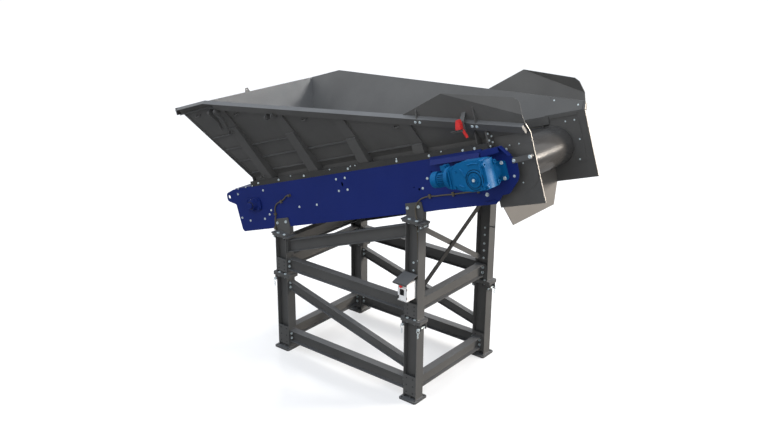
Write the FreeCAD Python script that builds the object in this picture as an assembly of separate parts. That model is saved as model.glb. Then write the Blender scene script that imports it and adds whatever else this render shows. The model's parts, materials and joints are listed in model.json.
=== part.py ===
import FreeCAD, Part
import math
import os

from FreeCAD import Placement, Rotation, Vector

# Bulk material feeder: a hopper over a short inclined belt, on a bolted two-tier stand.
# X is the feed direction, Y runs across the belt, Z is up, and the origin is the middle of
# the stand's footprint on the ground. All sizes are millimetres.
# The belt has its own frame: u along the belt, y across it, w square to it, with the zero
# on the head shaft. Near is the -Y side, which carries the drive.

# Belt and drums
incline = 18.0
head_x = 1920.0
head_z = 2870.0
drum_pitch = 3620.0
drum_radius = 200.0
drum_shell = 12.0
belt_thickness = 12.0
belt_width = 1050.0
drum_face = belt_width + 26.0
running_gap = 0.3
shaft_clearance = 0.05
head_shaft_radius = 40.0
tail_shaft_radius = 35.0
roller_radius = 44.5
roller_face = belt_width + 50.0
roller_shell = 4.0
roller_axle_radius = 15.0
carry_roller_count = 5
carry_roller_pitch = 600.0
first_carry_roller = -3050.0
return_roller_places = (-2600.0, -1000.0)

# Side plates of the conveyor
skirt_offset = 29.0
plate_offset = 111.0
plate_outer_y = belt_width / 2 + skirt_offset + plate_offset
plate_thickness = 10.0
plate_top = drum_radius + 20.0
plate_bottom = -323.0
plate_tail = -drum_pitch - 332.0
plate_flange = 60.0
nose_corner = 45.0
cross_tube = 90.0
cross_tube_places = (-3350.0, -2750.0, -2150.0, -1550.0, -950.0)
bottom_channel = 70.0
bottom_channel_places = (-3650.0, -1800.0, -420.0)

# Hopper: both side walls are planes that lean outward
wall_foot_y = belt_width / 2 + skirt_offset
wall_foot_w = plate_top + 105.0
wall_lean = 30.75
wall_thickness = 8.0
rim_tail_u = -drum_pitch - 301.0
rim_tail_w = 1360.0
rim_knee_u = -3398.0
rim_fall = 0.25
tail_foot_u = -drum_pitch + 30.0
hopper_end_u = -30.0
rim_channel_end_u = -3270.0
rim_end_u = 395.0
discharge_end_u = 411.0
skirt_bottom = plate_top + 16.0
rim_width = 53.0
rim_depth = 85.0
rim_lip = 30.0
rim_channel_lip = 40.0
rim_sheet = 6.0
trim_gap = 0.5
corner_strip = 32.0
ring_drop = 165.0
rib_count = 4
rib_pitch = 783.0
first_rib = -3260.0
rib_width = 140.0
rib_sheet = 6.0
rib_step_below_rim = 362.0
rib_thin_depth = 24.0
rib_step_depth = 40.0
base_rail_y = plate_outer_y - 13.0
base_rail_height = 50.0
rib_foot_gap = 26.0
stiffener_rows = (400.0, 573.0, 746.0, 919.0)
stiffener_depth = 24.0

skirt_clamps = 6

# Wing plates over the discharge
wing_start_u = -868.0
wing_peak_u = -358.0
wing_peak_rise = 255.0
wing_end_u = 407.0
wing_end_rise = 85.2
flap_corner_u = 343.0
flap_corner_rise = 239.2
flap_round_u = 389.0
flap_round_rise = 204.7
wing_sheet = 6.0

# Discharge
discharge_y = wall_foot_y + 1.0
discharge_sheet = 8.0
discharge_back_u = -112.0
discharge_bottom = -388.0
chute_foot = 412.0
liner_sheet = 5.0
shaft_hole_radius = 75.0

# Drive
gearbox_near_y = plate_outer_y + 365.0
gearbox_far_y = plate_outer_y + 125.0
gearbox_end_u = 100.0
motor_axis_y = plate_outer_y + 257.0
motor_axis_w = 35.0
motor_radius = 80.0
motor_flange_radius = 116.0
fan_cowl_radius = 83.0
bearing_half = (138.0, 98.0)
bearing_bolts = (101.0, 77.0)
take_up_half = (134.0, 80.0)
take_up_bolts = (92.0, 52.0)
bearing_depth = 62.0

# Stand
column_pitch_x = 1970.0
column_pitch_y = 2 * plate_outer_y + 60.0
column_depth = 178.0
column_width = 130.0
column_flange = 10.0
column_web = 8.0
base_plate = 235.0
base_plate_thickness = 20.0
base_plate_corner = 25.0
anchor_pitch = 175.0
anchor_hole_radius = 11.0
joint_z = 990.0
joint_plate_x = 270.0
joint_plate_y = 160.0
joint_plate_thickness = 20.0
joint_bolt_x = 50.0
joint_bolt_y = 53.0
saddle_rise = 80.0
saddle_overlap = 112.0
saddle_base = 15.0
saddle_plate = 12.0
beam_height = 150.0
beam_width = 100.0
beam_flange = 8.0
beam_web = 6.0
end_plate = 10.0
bottom_beam_z = 183.0
middle_beam_z = 1150.0
splice_z = 1122.0
top_beam_drop = 34.0
diagonal_height = 120.0
diagonal_width = 70.0
diagonal_high_z = 870.0
diagonal_low_z = 425.0
brace_width = 60.0
brace_thickness = 10.0
brace_low_z = 1311.0
brace_high_z = 2040.0
splice_plate = 8.0

# Fasteners and small fittings
bolt_head = 17.0
bolt_height = 9.0
small_bolt_head = 13.0
small_bolt_height = 7.0
pin_radius = 11.0
pin_length = 140.0
ear_drop = 75.0
cap_ear_drop = 42.0

# Controls
box_left_x = 928.0
box_right_x = 1053.0
box_front_y = 925.0
box_bottom_z = 1293.0
box_top_z = 1497.0
estop_travel = 6.0
bracket_gap = 25.0
cable_radius = 8.0
cable_pass = (1010.0, -714.0)

sine = math.sin(math.radians(incline))
cosine = math.cos(math.radians(incline))
lean_sine = math.sin(math.radians(wall_lean))
lean_cosine = math.cos(math.radians(wall_lean))
plate_inner_y = plate_outer_y - plate_thickness
carry_w = drum_radius + running_gap
belt_top = carry_w + belt_thickness
carry_roller_w = drum_radius - roller_radius
return_roller_w = -belt_top - running_gap - roller_radius
tail_u = -drum_pitch
belt_frame = Placement(Vector(head_x, 0, head_z), Rotation(Vector(0, 1, 0), -incline))
parts = {}


# Helpers

def box(x0, x1, y0, y1, z0, z1):
    return Part.makeBox(x1 - x0, y1 - y0, z1 - z0, Vector(x0, y0, z0))


def rod(start, along, radius, length):
    return Part.makeCylinder(radius, length, Vector(*start), Vector(*along))


def cross_rod(u, y0, y1, w, radius):
    return rod((u, y0, w), (0, 1, 0), radius, y1 - y0)


def polygon(points):
    corners = [Vector(*p) for p in points]
    return Part.Face(Part.makePolygon(corners + corners[:1]))


def prism(points, sweep):
    return polygon(points).extrude(Vector(*sweep))


def across(outline, y0, y1):
    """Solid with its outline in the u-w or X-Z plane, from y0 to y1."""
    return prism([(a, y0, b) for a, b in outline], (0, y1 - y0, 0))


def along(outline, x0, x1):
    """Solid with its outline in the y-w plane, from x0 to x1."""
    return prism([(x0, a, b) for a, b in outline], (x1 - x0, 0, 0))


def rounded_outline(corners, y):
    """Face at one y, with corners given as (u, w, radius)."""
    edges = []
    previous_end = None
    first_start = None
    count = len(corners)
    for i, (u, w, radius) in enumerate(corners):
        here = Vector(u, y, w)
        before = Vector(corners[i - 1][0], y, corners[i - 1][1])
        after = Vector(corners[(i + 1) % count][0], y, corners[(i + 1) % count][1])
        back = (before - here).normalize()
        ahead = (after - here).normalize()
        half = back.getAngle(ahead) / 2
        start = end = here
        if radius:
            reach = radius / math.tan(half)
            start = here + back * reach
            end = here + ahead * reach
        if previous_end is not None:
            edges.append(Part.LineSegment(previous_end, start).toShape())
        else:
            first_start = start
        if radius:
            inward = (back + ahead).normalize()
            middle = here + inward * (radius / math.sin(half) - radius)
            edges.append(Part.Arc(start, middle, end).toShape())
        previous_end = end
    edges.append(Part.LineSegment(previous_end, first_start).toShape())
    return Part.Face(Part.Wire(Part.__sortEdges__(edges)))


def rounded_across(corners, y0, y1):
    return rounded_outline(corners, y0).extrude(Vector(0, y1 - y0, 0))


def other_side(shape):
    return shape.mirror(Vector(0, 0, 0), Vector(0, 1, 0))


def both_sides(shapes):
    return list(shapes) + [other_side(s) for s in shapes]


def joined(shapes):
    shapes = list(shapes)
    if len(shapes) == 1:
        return shapes[0]
    return shapes[0].fuse(shapes[1:]).removeSplitter()


def on_belt(shapes):
    placed = []
    for shape in shapes:
        copy = shape.copy()
        copy.Placement = belt_frame.multiply(copy.Placement)
        placed.append(copy)
    return placed


def keep(name, shapes, frame=None):
    shapes = list(shapes)
    if frame == "belt":
        shapes = on_belt(shapes)
    parts[name] = shapes


def hex_head(place, direction, size=bolt_head, height=bolt_height):
    """Hexagon head that stands on its place and points in its direction."""
    axis = Vector(*direction).normalize()
    side = Vector(0, 0, 1) if abs(axis.z) < 0.9 else Vector(1, 0, 0)
    first = axis.cross(side).normalize()
    second = axis.cross(first)
    ring = []
    for i in range(6):
        angle = math.radians(60 * i)
        ring.append(Vector(*place) + (first * math.cos(angle) + second * math.sin(angle)) * size)
    return Part.Face(Part.makePolygon(ring + ring[:1])).extrude(axis * height)


def wall_y(w):
    return wall_foot_y + (w - wall_foot_w) * lean_sine / lean_cosine


def wall_point(v, d):
    """(y, w) at v up the far wall from its foot and d outward from its inner face."""
    return (wall_foot_y + v * lean_sine + d * lean_cosine,
            wall_foot_w + v * lean_cosine - d * lean_sine)


def up_wall(w):
    return (w - wall_foot_w) / lean_cosine


def rim_w(u):
    return rim_tail_w - max(0.0, u - rim_knee_u) * rim_fall


def tail_wall_u(w):
    return tail_foot_u + (w - wall_foot_w) * (rim_tail_u - tail_foot_u) / (rim_tail_w - wall_foot_w)


def belt_line_z(x, w):
    """World height of the line at w above the head shaft, at one X."""
    return head_z + (w + (x - head_x) * sine) / cosine


# Stand

def h_profile(depth, width, flange, web, z):
    """H outline in the X-Y plane with its flanges at the ends of X."""
    a = depth / 2
    b = width / 2
    inner = a - flange
    half_web = web / 2
    return [(-a, -b, z), (-inner, -b, z), (-inner, -half_web, z), (inner, -half_web, z),
            (inner, -b, z), (a, -b, z), (a, b, z), (inner, b, z), (inner, half_web, z),
            (-inner, half_web, z), (-inner, b, z), (-a, b, z)]


def plate_with_holes(size_x, size_y, z0, thickness, pitch_x, pitch_y, hole, corner):
    plate = box(-size_x / 2, size_x / 2, -size_y / 2, size_y / 2, z0, z0 + thickness)
    uprights = [e for e in plate.Edges if abs(e.tangentAt(e.FirstParameter).z) > 0.9]
    plate = plate.makeFillet(corner, uprights)
    for x in (-pitch_x / 2, pitch_x / 2):
        for y in (-pitch_y / 2, pitch_y / 2):
            plate = plate.cut(rod((x, y, z0 - 1), (0, 0, 1), hole, thickness + 2))
    return plate


def splice(z_low, z_high):
    """Cover plates with four holes that close the column's recess at a beam's level."""
    plates = []
    half = column_depth / 2
    for side in (-1, 1):
        outer = side * column_width / 2
        inner = outer - side * splice_plate
        plate = box(-half + column_flange, half - column_flange, min(outer, inner), max(outer, inner),
                    z_low, z_high)
        for x in (-45, 45):
            for z in (z_low + 35, z_high - 35):
                plate = plate.cut(rod((x, min(outer, inner) - 1, z), (0, 1, 0), 9, splice_plate + 2))
        plates.append(plate)
    return plates


def recess_gussets(z, up):
    """Small triangles that stiffen the web against an end plate."""
    reach = 60 if up else -60
    gussets = []
    for side in (-1, 1):
        y0 = side * column_web / 2
        y1 = side * (column_width / 2 - 4)
        gussets.append(prism([(-4, y0, z), (-4, y1, z), (-4, y0, z + reach)], (8, 0, 0)))
    return gussets


def column(z_low, z_high, x, y):
    """H column weldment between two heights, without its end plates."""
    shaft = prism(h_profile(column_depth, column_width, column_flange, column_web, z_low),
                  (0, 0, z_high - z_low))
    return shaft


def joint_plate(z):
    return plate_with_holes(joint_plate_x, joint_plate_y, z, joint_plate_thickness,
                            2 * joint_bolt_x, 2 * joint_bolt_y, 9, 15)


def pin_ends(x, at_cap=False):
    """Ends of a joint plate that carry pins, away from the ends that a beam or diagonal takes."""
    if x < 0:
        return (-1,)
    return (1,) if at_cap else (-1, 1)


def pin_ears(z, drop, ends):
    """Pairs of ears under the ends of a joint plate, bored for the locating pins."""
    ears = []
    for side in ends:
        x0 = side * column_depth / 2
        x1 = side * (joint_plate_x / 2 - 2)
        x_pin = (x0 + x1) / 2
        for y in (-50, 40):
            ear = box(min(x0, x1), max(x0, x1), y, y + 10, z - drop, z)
            ears.append(ear.cut(rod((x_pin, y - 1, z - drop + 20), (0, 1, 0), pin_radius + shaft_clearance, 12)))
    return ears


def lower_column(x, y):
    pieces = [plate_with_holes(base_plate, base_plate, 0, base_plate_thickness,
                               anchor_pitch, anchor_pitch, anchor_hole_radius, base_plate_corner),
              column(base_plate_thickness, joint_z - joint_plate_thickness, x, y),
              joint_plate(joint_z - joint_plate_thickness)]
    pieces += splice(bottom_beam_z - 124, bottom_beam_z + 124)
    pieces += recess_gussets(base_plate_thickness, True)
    pieces += recess_gussets(joint_z - joint_plate_thickness, False)
    pieces += pin_ears(joint_z - joint_plate_thickness, ear_drop, pin_ends(x))
    return joined(pieces).translate(Vector(x, y, 0))


def cap_z(x):
    return belt_line_z(x, plate_bottom) - saddle_rise


def upper_column(x, y):
    top = cap_z(x)
    pieces = [joint_plate(joint_z),
              column(joint_z + joint_plate_thickness, top - joint_plate_thickness, x, y),
              joint_plate(top - joint_plate_thickness)]
    pieces += pin_ears(top - joint_plate_thickness, cap_ear_drop, pin_ends(x, True))
    pieces += splice(splice_z - 84, splice_z + 84)
    pieces += recess_gussets(joint_z + joint_plate_thickness, True)
    pieces += recess_gussets(top - joint_plate_thickness, False)
    return joined(pieces).translate(Vector(x, y, 0))


def saddle(x, side):
    """Bracket from a column's cap to the outside of a side plate and under its flange."""
    z = cap_z(x)
    centre = x - 25
    low = z + saddle_base
    edge = plate_bottom + saddle_overlap
    left_top = (centre - 138, belt_line_z(centre - 138, edge))
    right_top = (centre + 70, belt_line_z(centre + 70, edge))
    kink = (centre + 104, right_top[1] - 105)
    outline = [(centre - 118, low), (centre + 100, low), kink, right_top, left_top]
    upright = across(outline, plate_outer_y, plate_outer_y + saddle_plate)
    base_half = joint_plate_y / 2
    base = box(centre - 118, centre + 104, column_pitch_y / 2 - base_half, column_pitch_y / 2 + base_half,
               z, low)
    ends = []
    for x0 in (centre - 118, centre + 90):
        x1 = x0 + 10
        ends.append(across([(x0, low), (x1, low), (x1, belt_line_z(x1, plate_bottom)),
                            (x0, belt_line_z(x0, plate_bottom))],
                           plate_outer_y - 52, plate_outer_y))
    piece = joined([upright, base] + ends)
    for bolt_x in (x - joint_bolt_x, x + joint_bolt_x):
        for dy in (-joint_bolt_y, joint_bolt_y):
            piece = piece.cut(rod((bolt_x, column_pitch_y / 2 + dy, z - 1), (0, 0, 1), 9, saddle_base + 2))
    return piece if side > 0 else other_side(piece)


def i_outline(height, width, flange, web, y, z):
    """I outline in the Y-Z plane."""
    a = width / 2
    b = height / 2
    c = b - flange
    d = web / 2
    return [(y - a, z - b), (y + a, z - b), (y + a, z - c), (y + d, z - c), (y + d, z + c),
            (y + a, z + c), (y + a, z + b), (y - a, z + b), (y - a, z + c), (y - d, z + c),
            (y - d, z - c), (y - a, z - c)]


def long_beam(y, z_tail, z_head, height=beam_height, width=beam_width):
    """I beam between the flanges of two columns, level or sloping, with end plates."""
    reach = column_pitch_x / 2 - column_depth / 2
    rise = z_head - z_tail
    body = prism([(-reach, a, b) for a, b in i_outline(height, width, beam_flange, beam_web, y, z_tail)],
                 (2 * reach, 0, rise))
    tall = height / 2 + 14
    ends = [box(-reach, -reach + end_plate, y - width / 2, y + width / 2, z_tail - tall, z_tail + tall),
            box(reach - end_plate, reach, y - width / 2, y + width / 2, z_head - tall, z_head + tall)]
    return joined([body] + ends)


def cross_beam(x, z, plate_half=beam_width / 2 + 14):
    """I beam across the stand, with end plates against the columns' inner faces."""
    reach = column_pitch_y / 2 - column_width / 2
    outline = [(x + a, -reach, z + b) for a, b in
               i_outline(beam_height, beam_width, beam_flange, beam_web, 0, 0)]
    body = prism(outline, (0, 2 * reach, 0))
    tall = beam_height / 2
    ends = []
    for side in (-1, 1):
        y0 = side * reach
        y1 = side * (reach - end_plate)
        ends.append(box(x - plate_half, x + plate_half, min(y0, y1), max(y0, y1), z - tall, z + tall))
    return joined([body] + ends)


def flat_brace(y_low, z_low, y_high, z_high, x):
    run = Vector(0, y_high - y_low, z_high - z_low).normalize()
    side = Vector(0, -run.z, run.y) * (brace_width / 2)
    start = Vector(x, y_low, z_low)
    end = Vector(x, y_high, z_high)
    return prism([start + side, end + side, end - side, start - side], (brace_thickness, 0, 0))


def brace_gusset(side, z_low, z_high, x):
    """Plate that stands on a column's web and carries one end of each brace."""
    web = side * (column_pitch_y / 2 - column_web / 2)
    tip = side * (column_pitch_y / 2 - column_width / 2 - 75)
    points = [(x, web, z_low), (x, tip, z_low + 35), (x, tip, z_high - 35), (x, web, z_high)]
    return prism(points, (brace_thickness, 0, 0))


def make_stand():
    half_x = column_pitch_x / 2
    half_y = column_pitch_y / 2
    for side_name, side in (("near", -1), ("far", 1)):
        keep("lower_columns_" + side_name,
             [lower_column(x, side * half_y) for x in (-half_x, half_x)])
        keep("upper_columns_" + side_name,
             [upper_column(x, side * half_y) for x in (-half_x, half_x)])
    keep("saddle_brackets", [saddle(x, side) for x in (-half_x, half_x) for side in (-1, 1)])
    for name, z in (("bottom_beams", bottom_beam_z), ("middle_beams", middle_beam_z)):
        beams = [long_beam(side * half_y, z, z) for side in (-1, 1)]
        beams += [cross_beam(x, z) for x in (-half_x, half_x)]
        keep(name, beams)
    drop = joint_plate_thickness + top_beam_drop + beam_height / 2
    z_tail = cap_z(-half_x) - drop
    z_head = cap_z(half_x) - drop
    keep("top_beams", [long_beam(side * half_y, z_tail, z_head) for side in (-1, 1)]
         + [cross_beam(-half_x, cap_z(-half_x) - 120, column_depth / 2)])
    keep("stand_diagonals",
         [long_beam(side * half_y, diagonal_high_z, diagonal_low_z, diagonal_height, diagonal_width)
          for side in (-1, 1)])
    seat_x = half_x - brace_thickness / 2
    end_y = half_y - column_width / 2 - 30
    braces = [flat_brace(-end_y, brace_low_z, end_y, brace_high_z, seat_x + brace_thickness),
              flat_brace(-end_y, brace_high_z, end_y, brace_low_z, seat_x - brace_thickness)]
    gussets = []
    for side in (-1, 1):
        gussets.append(brace_gusset(side, brace_low_z - 68, brace_low_z + 72, seat_x))
        gussets.append(brace_gusset(side, brace_high_z - 80, brace_high_z + 20, seat_x))
    keep("head_braces", braces + gussets)


def make_stand_bolts():
    heads = []
    half_x = column_pitch_x / 2
    half_y = column_pitch_y / 2
    for sx in (-1, 1):
        for sy in (-1, 1):
            x = sx * half_x
            y = sy * half_y
            top = cap_z(x)
            for dx in (-joint_bolt_x, joint_bolt_x):
                for dy in (-joint_bolt_y, joint_bolt_y):
                    heads.append(hex_head((x + dx, y + dy, joint_z + joint_plate_thickness), (0, 0, 1)))
                    heads.append(hex_head((x + dx, y + dy, joint_z - joint_plate_thickness), (0, 0, -1)))
                    heads.append(hex_head((x + dx, y + dy, top + saddle_base), (0, 0, 1)))
                    heads.append(hex_head((x + dx, y + dy, top - joint_plate_thickness), (0, 0, -1)))
            for dx in (-128, 15):
                z = belt_line_z(x + dx, plate_bottom + saddle_overlap - 50)
                face = sy * (plate_outer_y + saddle_plate)
                heads.append(hex_head((x + dx, face, z), (0, sy, 0), 17, 11))
    flange_x = half_x - column_depth / 2 - end_plate
    for sx in (-1, 1):
        for sy in (-1, 1):
            for z in (bottom_beam_z, middle_beam_z):
                for dz in (-32, 32):
                    heads.append(hex_head((sx * flange_x, sy * half_y - 28, z + dz), (-sx, 0, 0)))
                    reach = half_y - column_width / 2 - end_plate
                    heads.append(hex_head((sx * half_x + 32, sy * reach, z + dz), (0, -sy, 0)))
            z = diagonal_high_z if sx < 0 else diagonal_low_z
            for dz in (-30, 30):
                heads.append(hex_head((sx * flange_x, sy * half_y - 20, z + dz), (-sx, 0, 0)))
    keep("stand_bolts", heads + joint_pins())


def joint_pins():
    """Locating pins through the ears at the tier joints and at the caps."""
    pins = []
    reach = (column_depth / 2 + joint_plate_x / 2 - 2) / 2
    for sx in (-1, 1):
        for sy in (-1, 1):
            x = sx * column_pitch_x / 2
            y = sy * column_pitch_y / 2
            for z, drop, at_cap in ((joint_z, ear_drop, False), (cap_z(x), cap_ear_drop, True)):
                z_pin = z - joint_plate_thickness - drop + 20
                for end in pin_ends(x, at_cap):
                    pins.append(rod((x + end * reach, y - pin_length / 2, z_pin), (0, 1, 0),
                                    pin_radius, pin_length))
    return pins


# Conveyor

def side_plate():
    """Far side plate: profiled web with folded flanges, holes and a tail lug."""
    outline = [
        (plate_tail, -290, 0), (plate_tail + 26, plate_bottom, 0), (-86, plate_bottom, 25),
        (-33, -296, 12), (15, -244, 14), (104, -236, 50), (236, -112, nose_corner),
        (257, -60, nose_corner), (260, 58, nose_corner), (214, 126, 30), (96, plate_top, 20),
        (plate_tail + 14, plate_top, 0), (plate_tail - 130, 186, 40), (plate_tail - 144, 90, 42),
        (plate_tail, 30, 20)]
    web = rounded_across(outline, plate_inner_y, plate_outer_y)
    inner = plate_inner_y - plate_flange
    web = joined([web,
                  box(plate_tail + 40, -60, inner, plate_inner_y, plate_top - 8, plate_top),
                  box(plate_tail + 60, -110, inner, plate_inner_y, plate_bottom, plate_bottom + 8)])
    holes = [(0, 0, head_shaft_radius + 22), (tail_u, 0, tail_shaft_radius + 22),
             (plate_tail - 93, 137, 22), (-784, 90, 8), (-1060, -53, 8), (-996, -80, 14)]
    for u, w, radius in holes:
        web = web.cut(cross_rod(u, plate_inner_y - 1, plate_outer_y + 1, w, radius))
    web = joined([web, box(-188, -66, plate_outer_y, plate_outer_y + 25, -320, -286)])
    slot = rounded_across([(-2084, 66, 13), (-2056, 66, 13), (-2056, 116, 13), (-2084, 116, 13)],
                          plate_inner_y - 1, plate_outer_y + 1)
    return web.cut(slot)


def make_cross_members():
    members = []
    reach = plate_inner_y
    for u in cross_tube_places:
        tube = box(u - cross_tube / 2, u + cross_tube / 2, -reach, reach, -60, -60 + cross_tube)
        bore = box(u - cross_tube / 2 + 6, u + cross_tube / 2 - 6, -reach, reach,
                   -54, -66 + cross_tube)
        members.append(tube.cut(bore))
    for u in bottom_channel_places:
        low = plate_bottom + 8
        outline = [(u, low), (u + bottom_channel, low), (u + bottom_channel, low + 8), (u + 8, low + 8),
                   (u + 8, low + 52), (u + bottom_channel, low + 52), (u + bottom_channel, low + 60),
                   (u, low + 60)]
        members.append(across(outline, -reach, reach))
    keep("cross_members", members, "belt")


def make_tail_cover():
    """Folded cover over the tail drum, with a guard skirt across the end."""
    reach = plate_inner_y - 1
    top = plate_top + 8
    sheet = 5
    outline = [(plate_tail + 45, plate_top), (plate_tail + 45, top), (tail_foot_u - 25, top),
               (tail_foot_u - 25, plate_top)]
    lid = across(outline, -reach - 1, reach + 1)
    end = box(plate_tail + 45, plate_tail + 45 + sheet, -plate_inner_y, plate_inner_y,
              plate_bottom + 40, plate_top)
    flange_gap = [box(plate_tail + 40, plate_tail + 60, side_low, side_high, plate_top - 9, plate_top)
                  for side_low, side_high in ((-plate_inner_y, -plate_inner_y + plate_flange),
                                              (plate_inner_y - plate_flange, plate_inner_y))]
    keep("tail_cover", [joined([lid, end.cut(Part.makeCompound(flange_gap))])], "belt")


def make_belt():
    """Endless belt: a stadium ring round both drums."""
    half = belt_width / 2
    rings = []
    for radius in (belt_top, carry_w):
        ends = joined([cross_rod(0, -half, half, 0, radius), cross_rod(tail_u, -half, half, 0, radius),
                       box(tail_u, 0, -half, half, -radius, radius)])
        rings.append(ends)
    keep("belt", [rings[0].cut(rings[1])], "belt")


def drum(u, shaft_radius):
    """Drum shell with two end discs, bored for its shaft."""
    half = drum_face / 2
    inner = drum_radius - drum_shell
    outline = [(half, shaft_radius), (half, drum_radius), (-half, drum_radius), (-half, shaft_radius),
               (-half + 20, shaft_radius), (-half + 20, inner), (half - 20, inner),
               (half - 20, shaft_radius)]
    face = polygon([(u, a, b) for a, b in outline])
    return face.revolve(Vector(u, 0, 0), Vector(0, 1, 0), 360)


def make_drums():
    keep("head_drum", [drum(0, head_shaft_radius)], "belt")
    keep("head_shaft", [joined([cross_rod(0, -gearbox_near_y + 12, plate_outer_y + bearing_depth + 14, 0,
                                          head_shaft_radius)])], "belt")
    keep("tail_drum", [drum(tail_u, tail_shaft_radius)], "belt")
    reach = plate_outer_y + bearing_depth + 6
    keep("tail_shaft", [cross_rod(tail_u, -reach, reach, 0, tail_shaft_radius)], "belt")


def flange_bearing(u, shaft_radius, half, bolts, corner):
    """Four-bolt flange bearing on the far plate's outer face."""
    half_u, half_w = half
    face = plate_outer_y
    flange = rounded_across([(u - half_u, -half_w, corner), (u + half_u, -half_w, corner),
                             (u + half_u, half_w, corner), (u - half_u, half_w, corner)], face, face + 20)
    boss = Part.makeCone(shaft_radius + 38, shaft_radius + 24, bearing_depth - 20,
                         Vector(u, face + 20, 0), Vector(0, 1, 0))
    body = joined([flange, boss])
    bore = shaft_radius + shaft_clearance
    body = body.cut(cross_rod(u, face - 1, face + bearing_depth + 1, 0, bore))
    heads = []
    for du in (-bolts[0], bolts[0]):
        for dw in (-bolts[1], bolts[1]):
            heads.append(hex_head((u + du, face + 20, dw), (0, 1, 0)))
    return [body] + heads


def make_bearings():
    keep("head_bearings", both_sides(flange_bearing(0, head_shaft_radius, bearing_half, bearing_bolts, 26)),
         "belt")
    keep("tail_bearings", both_sides(flange_bearing(tail_u, tail_shaft_radius, take_up_half, take_up_bolts,
                                                    56)), "belt")


def roller(u, w):
    """Idler tube with two recessed end discs, bored to run on its axle."""
    half = roller_face / 2
    bore = roller_axle_radius + shaft_clearance
    inner = roller_radius - roller_shell
    disc = half - 12
    outline = [(half, inner), (half, roller_radius), (-half, roller_radius), (-half, inner),
               (-disc, inner), (-disc, bore), (-disc + 10, bore), (-disc + 10, inner),
               (disc - 10, inner), (disc - 10, bore), (disc, bore), (disc, inner)]
    face = polygon([(u, a, w + b) for a, b in outline])
    return face.revolve(Vector(u, 0, w), Vector(0, 1, 0), 360)


def make_rollers():
    axles = []
    for i in range(carry_roller_count):
        u = first_carry_roller + i * carry_roller_pitch
        keep("carry_roller_%d" % (i + 1), [roller(u, carry_roller_w)], "belt")
        axles.append(cross_rod(u, -plate_inner_y, plate_inner_y, carry_roller_w, roller_axle_radius))
    for i, u in enumerate(return_roller_places):
        keep("return_roller_%d" % (i + 1), [roller(u, return_roller_w)], "belt")
        axles.append(cross_rod(u, -plate_inner_y, plate_inner_y, return_roller_w, roller_axle_radius))
    keep("roller_axles", axles, "belt")


def make_scraper():
    """Blade scraper under the return run, just behind the head drum."""
    u = -170
    tube_w = -belt_top - 60
    tube = cross_rod(u, -plate_inner_y, plate_inner_y, tube_w, 24)
    blade = across([(u - 6, tube_w), (u + 6, tube_w), (u + 6, -belt_top - 1), (u - 2, -belt_top - 1)],
                   -belt_width / 2 + 20, belt_width / 2 - 20)
    keep("belt_scraper", [joined([tube, blade])], "belt")


# Hopper

def side_wall():
    """Far wall: a leaning plate with a straight skirt below it."""
    foot = wall_foot_w
    corners = [(hopper_end_u, foot), (hopper_end_u, rim_w(hopper_end_u)), (rim_knee_u, rim_tail_w),
               (rim_tail_u, rim_tail_w), (tail_foot_u, foot)]
    outward = (0, wall_thickness * lean_cosine, -wall_thickness * lean_sine)
    plate = prism([(u, wall_y(w), w) for u, w in corners], outward)
    skirt = box(tail_foot_u, hopper_end_u, wall_foot_y, wall_foot_y + wall_thickness, skirt_bottom, foot)
    flange = []
    for u, height in ((hopper_end_u, rim_w(hopper_end_u) - 95), (hopper_end_u - 125, 430)):
        y_top = wall_y(height)
        flange.append(along([(wall_foot_y + 4, skirt_bottom), (base_rail_y - 6, skirt_bottom),
                             (max(y_top, base_rail_y - 14) + 6, height - 30), (y_top + 10, height),
                             (wall_foot_y + 4, foot)], u - 10, u))
    return joined([plate, skirt] + flange)


def tail_wall():
    """Sloping tail plate between the side walls, with edge flanges past the corners."""
    edge = 50
    top = rim_tail_w
    low = skirt_bottom
    slope = (rim_tail_u - tail_foot_u) / (top - wall_foot_w)
    low_u = tail_foot_u
    points = [(low_u, wall_foot_y + edge, wall_foot_w), (rim_tail_u, wall_y(top) + 8, top),
              (rim_tail_u, -wall_y(top) - 8, top), (low_u, -wall_foot_y - edge, wall_foot_w)]
    size = math.hypot(1, slope)
    outward = Vector(-wall_thickness / size, 0, wall_thickness * slope / size)
    plate = prism(points, outward)
    skirt = box(low_u - wall_thickness, low_u, -wall_foot_y - edge, wall_foot_y + edge, low, wall_foot_w)
    bars = []
    for height in (560, 840, 1110):
        u = tail_wall_u(height)
        half = wall_y(height) - 30
        bars.append(box(u - 58, u - 2, -half, half, height - 5, height + 5))
    return joined([plate, skirt] + bars)


def rim_profile():
    """(v, d) corners of the folded rim, open below, from the wall's outer face."""
    s = rim_sheet
    o = wall_thickness
    return [(0, o), (0, o + rim_width), (-rim_depth, o + rim_width), (-rim_depth, o + rim_width - rim_lip),
            (s - rim_depth, o + rim_width - rim_lip), (s - rim_depth, o + rim_width - s),
            (-s, o + rim_width - s), (-s, o)]


def rim_channel():
    """(v, d) corners of the channel behind the knee, open outward."""
    s = rim_sheet
    o = wall_thickness
    return [(0, o), (0, o + rim_width), (-s, o + rim_width), (-s, o + s), (s - rim_depth, o + s),
            (s - rim_depth, o + rim_channel_lip), (-rim_depth, o + rim_channel_lip), (-rim_depth, o)]


def rim_block(gap):
    """(v, d) corners round both profiles, for end plates and for trimming what stops at the rim."""
    o = wall_thickness
    return [(gap, o), (gap, o + rim_width + gap), (-rim_depth - gap, o + rim_width + gap),
            (-rim_depth - gap, o)]


def rim_run(profile, u0, u1):
    start = up_wall(rim_w(u0))
    corners = [(u0,) + wall_point(v + start, d) for v, d in profile]
    rise = rim_w(u1) - rim_w(u0)
    return prism(corners, (u1 - u0, rise * lean_sine / lean_cosine, rise))


def rim_form():
    gap = trim_gap
    return [rim_run(rim_block(gap), rim_tail_u, rim_knee_u), rim_run(rim_block(gap), rim_knee_u, rim_end_u)]


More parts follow.
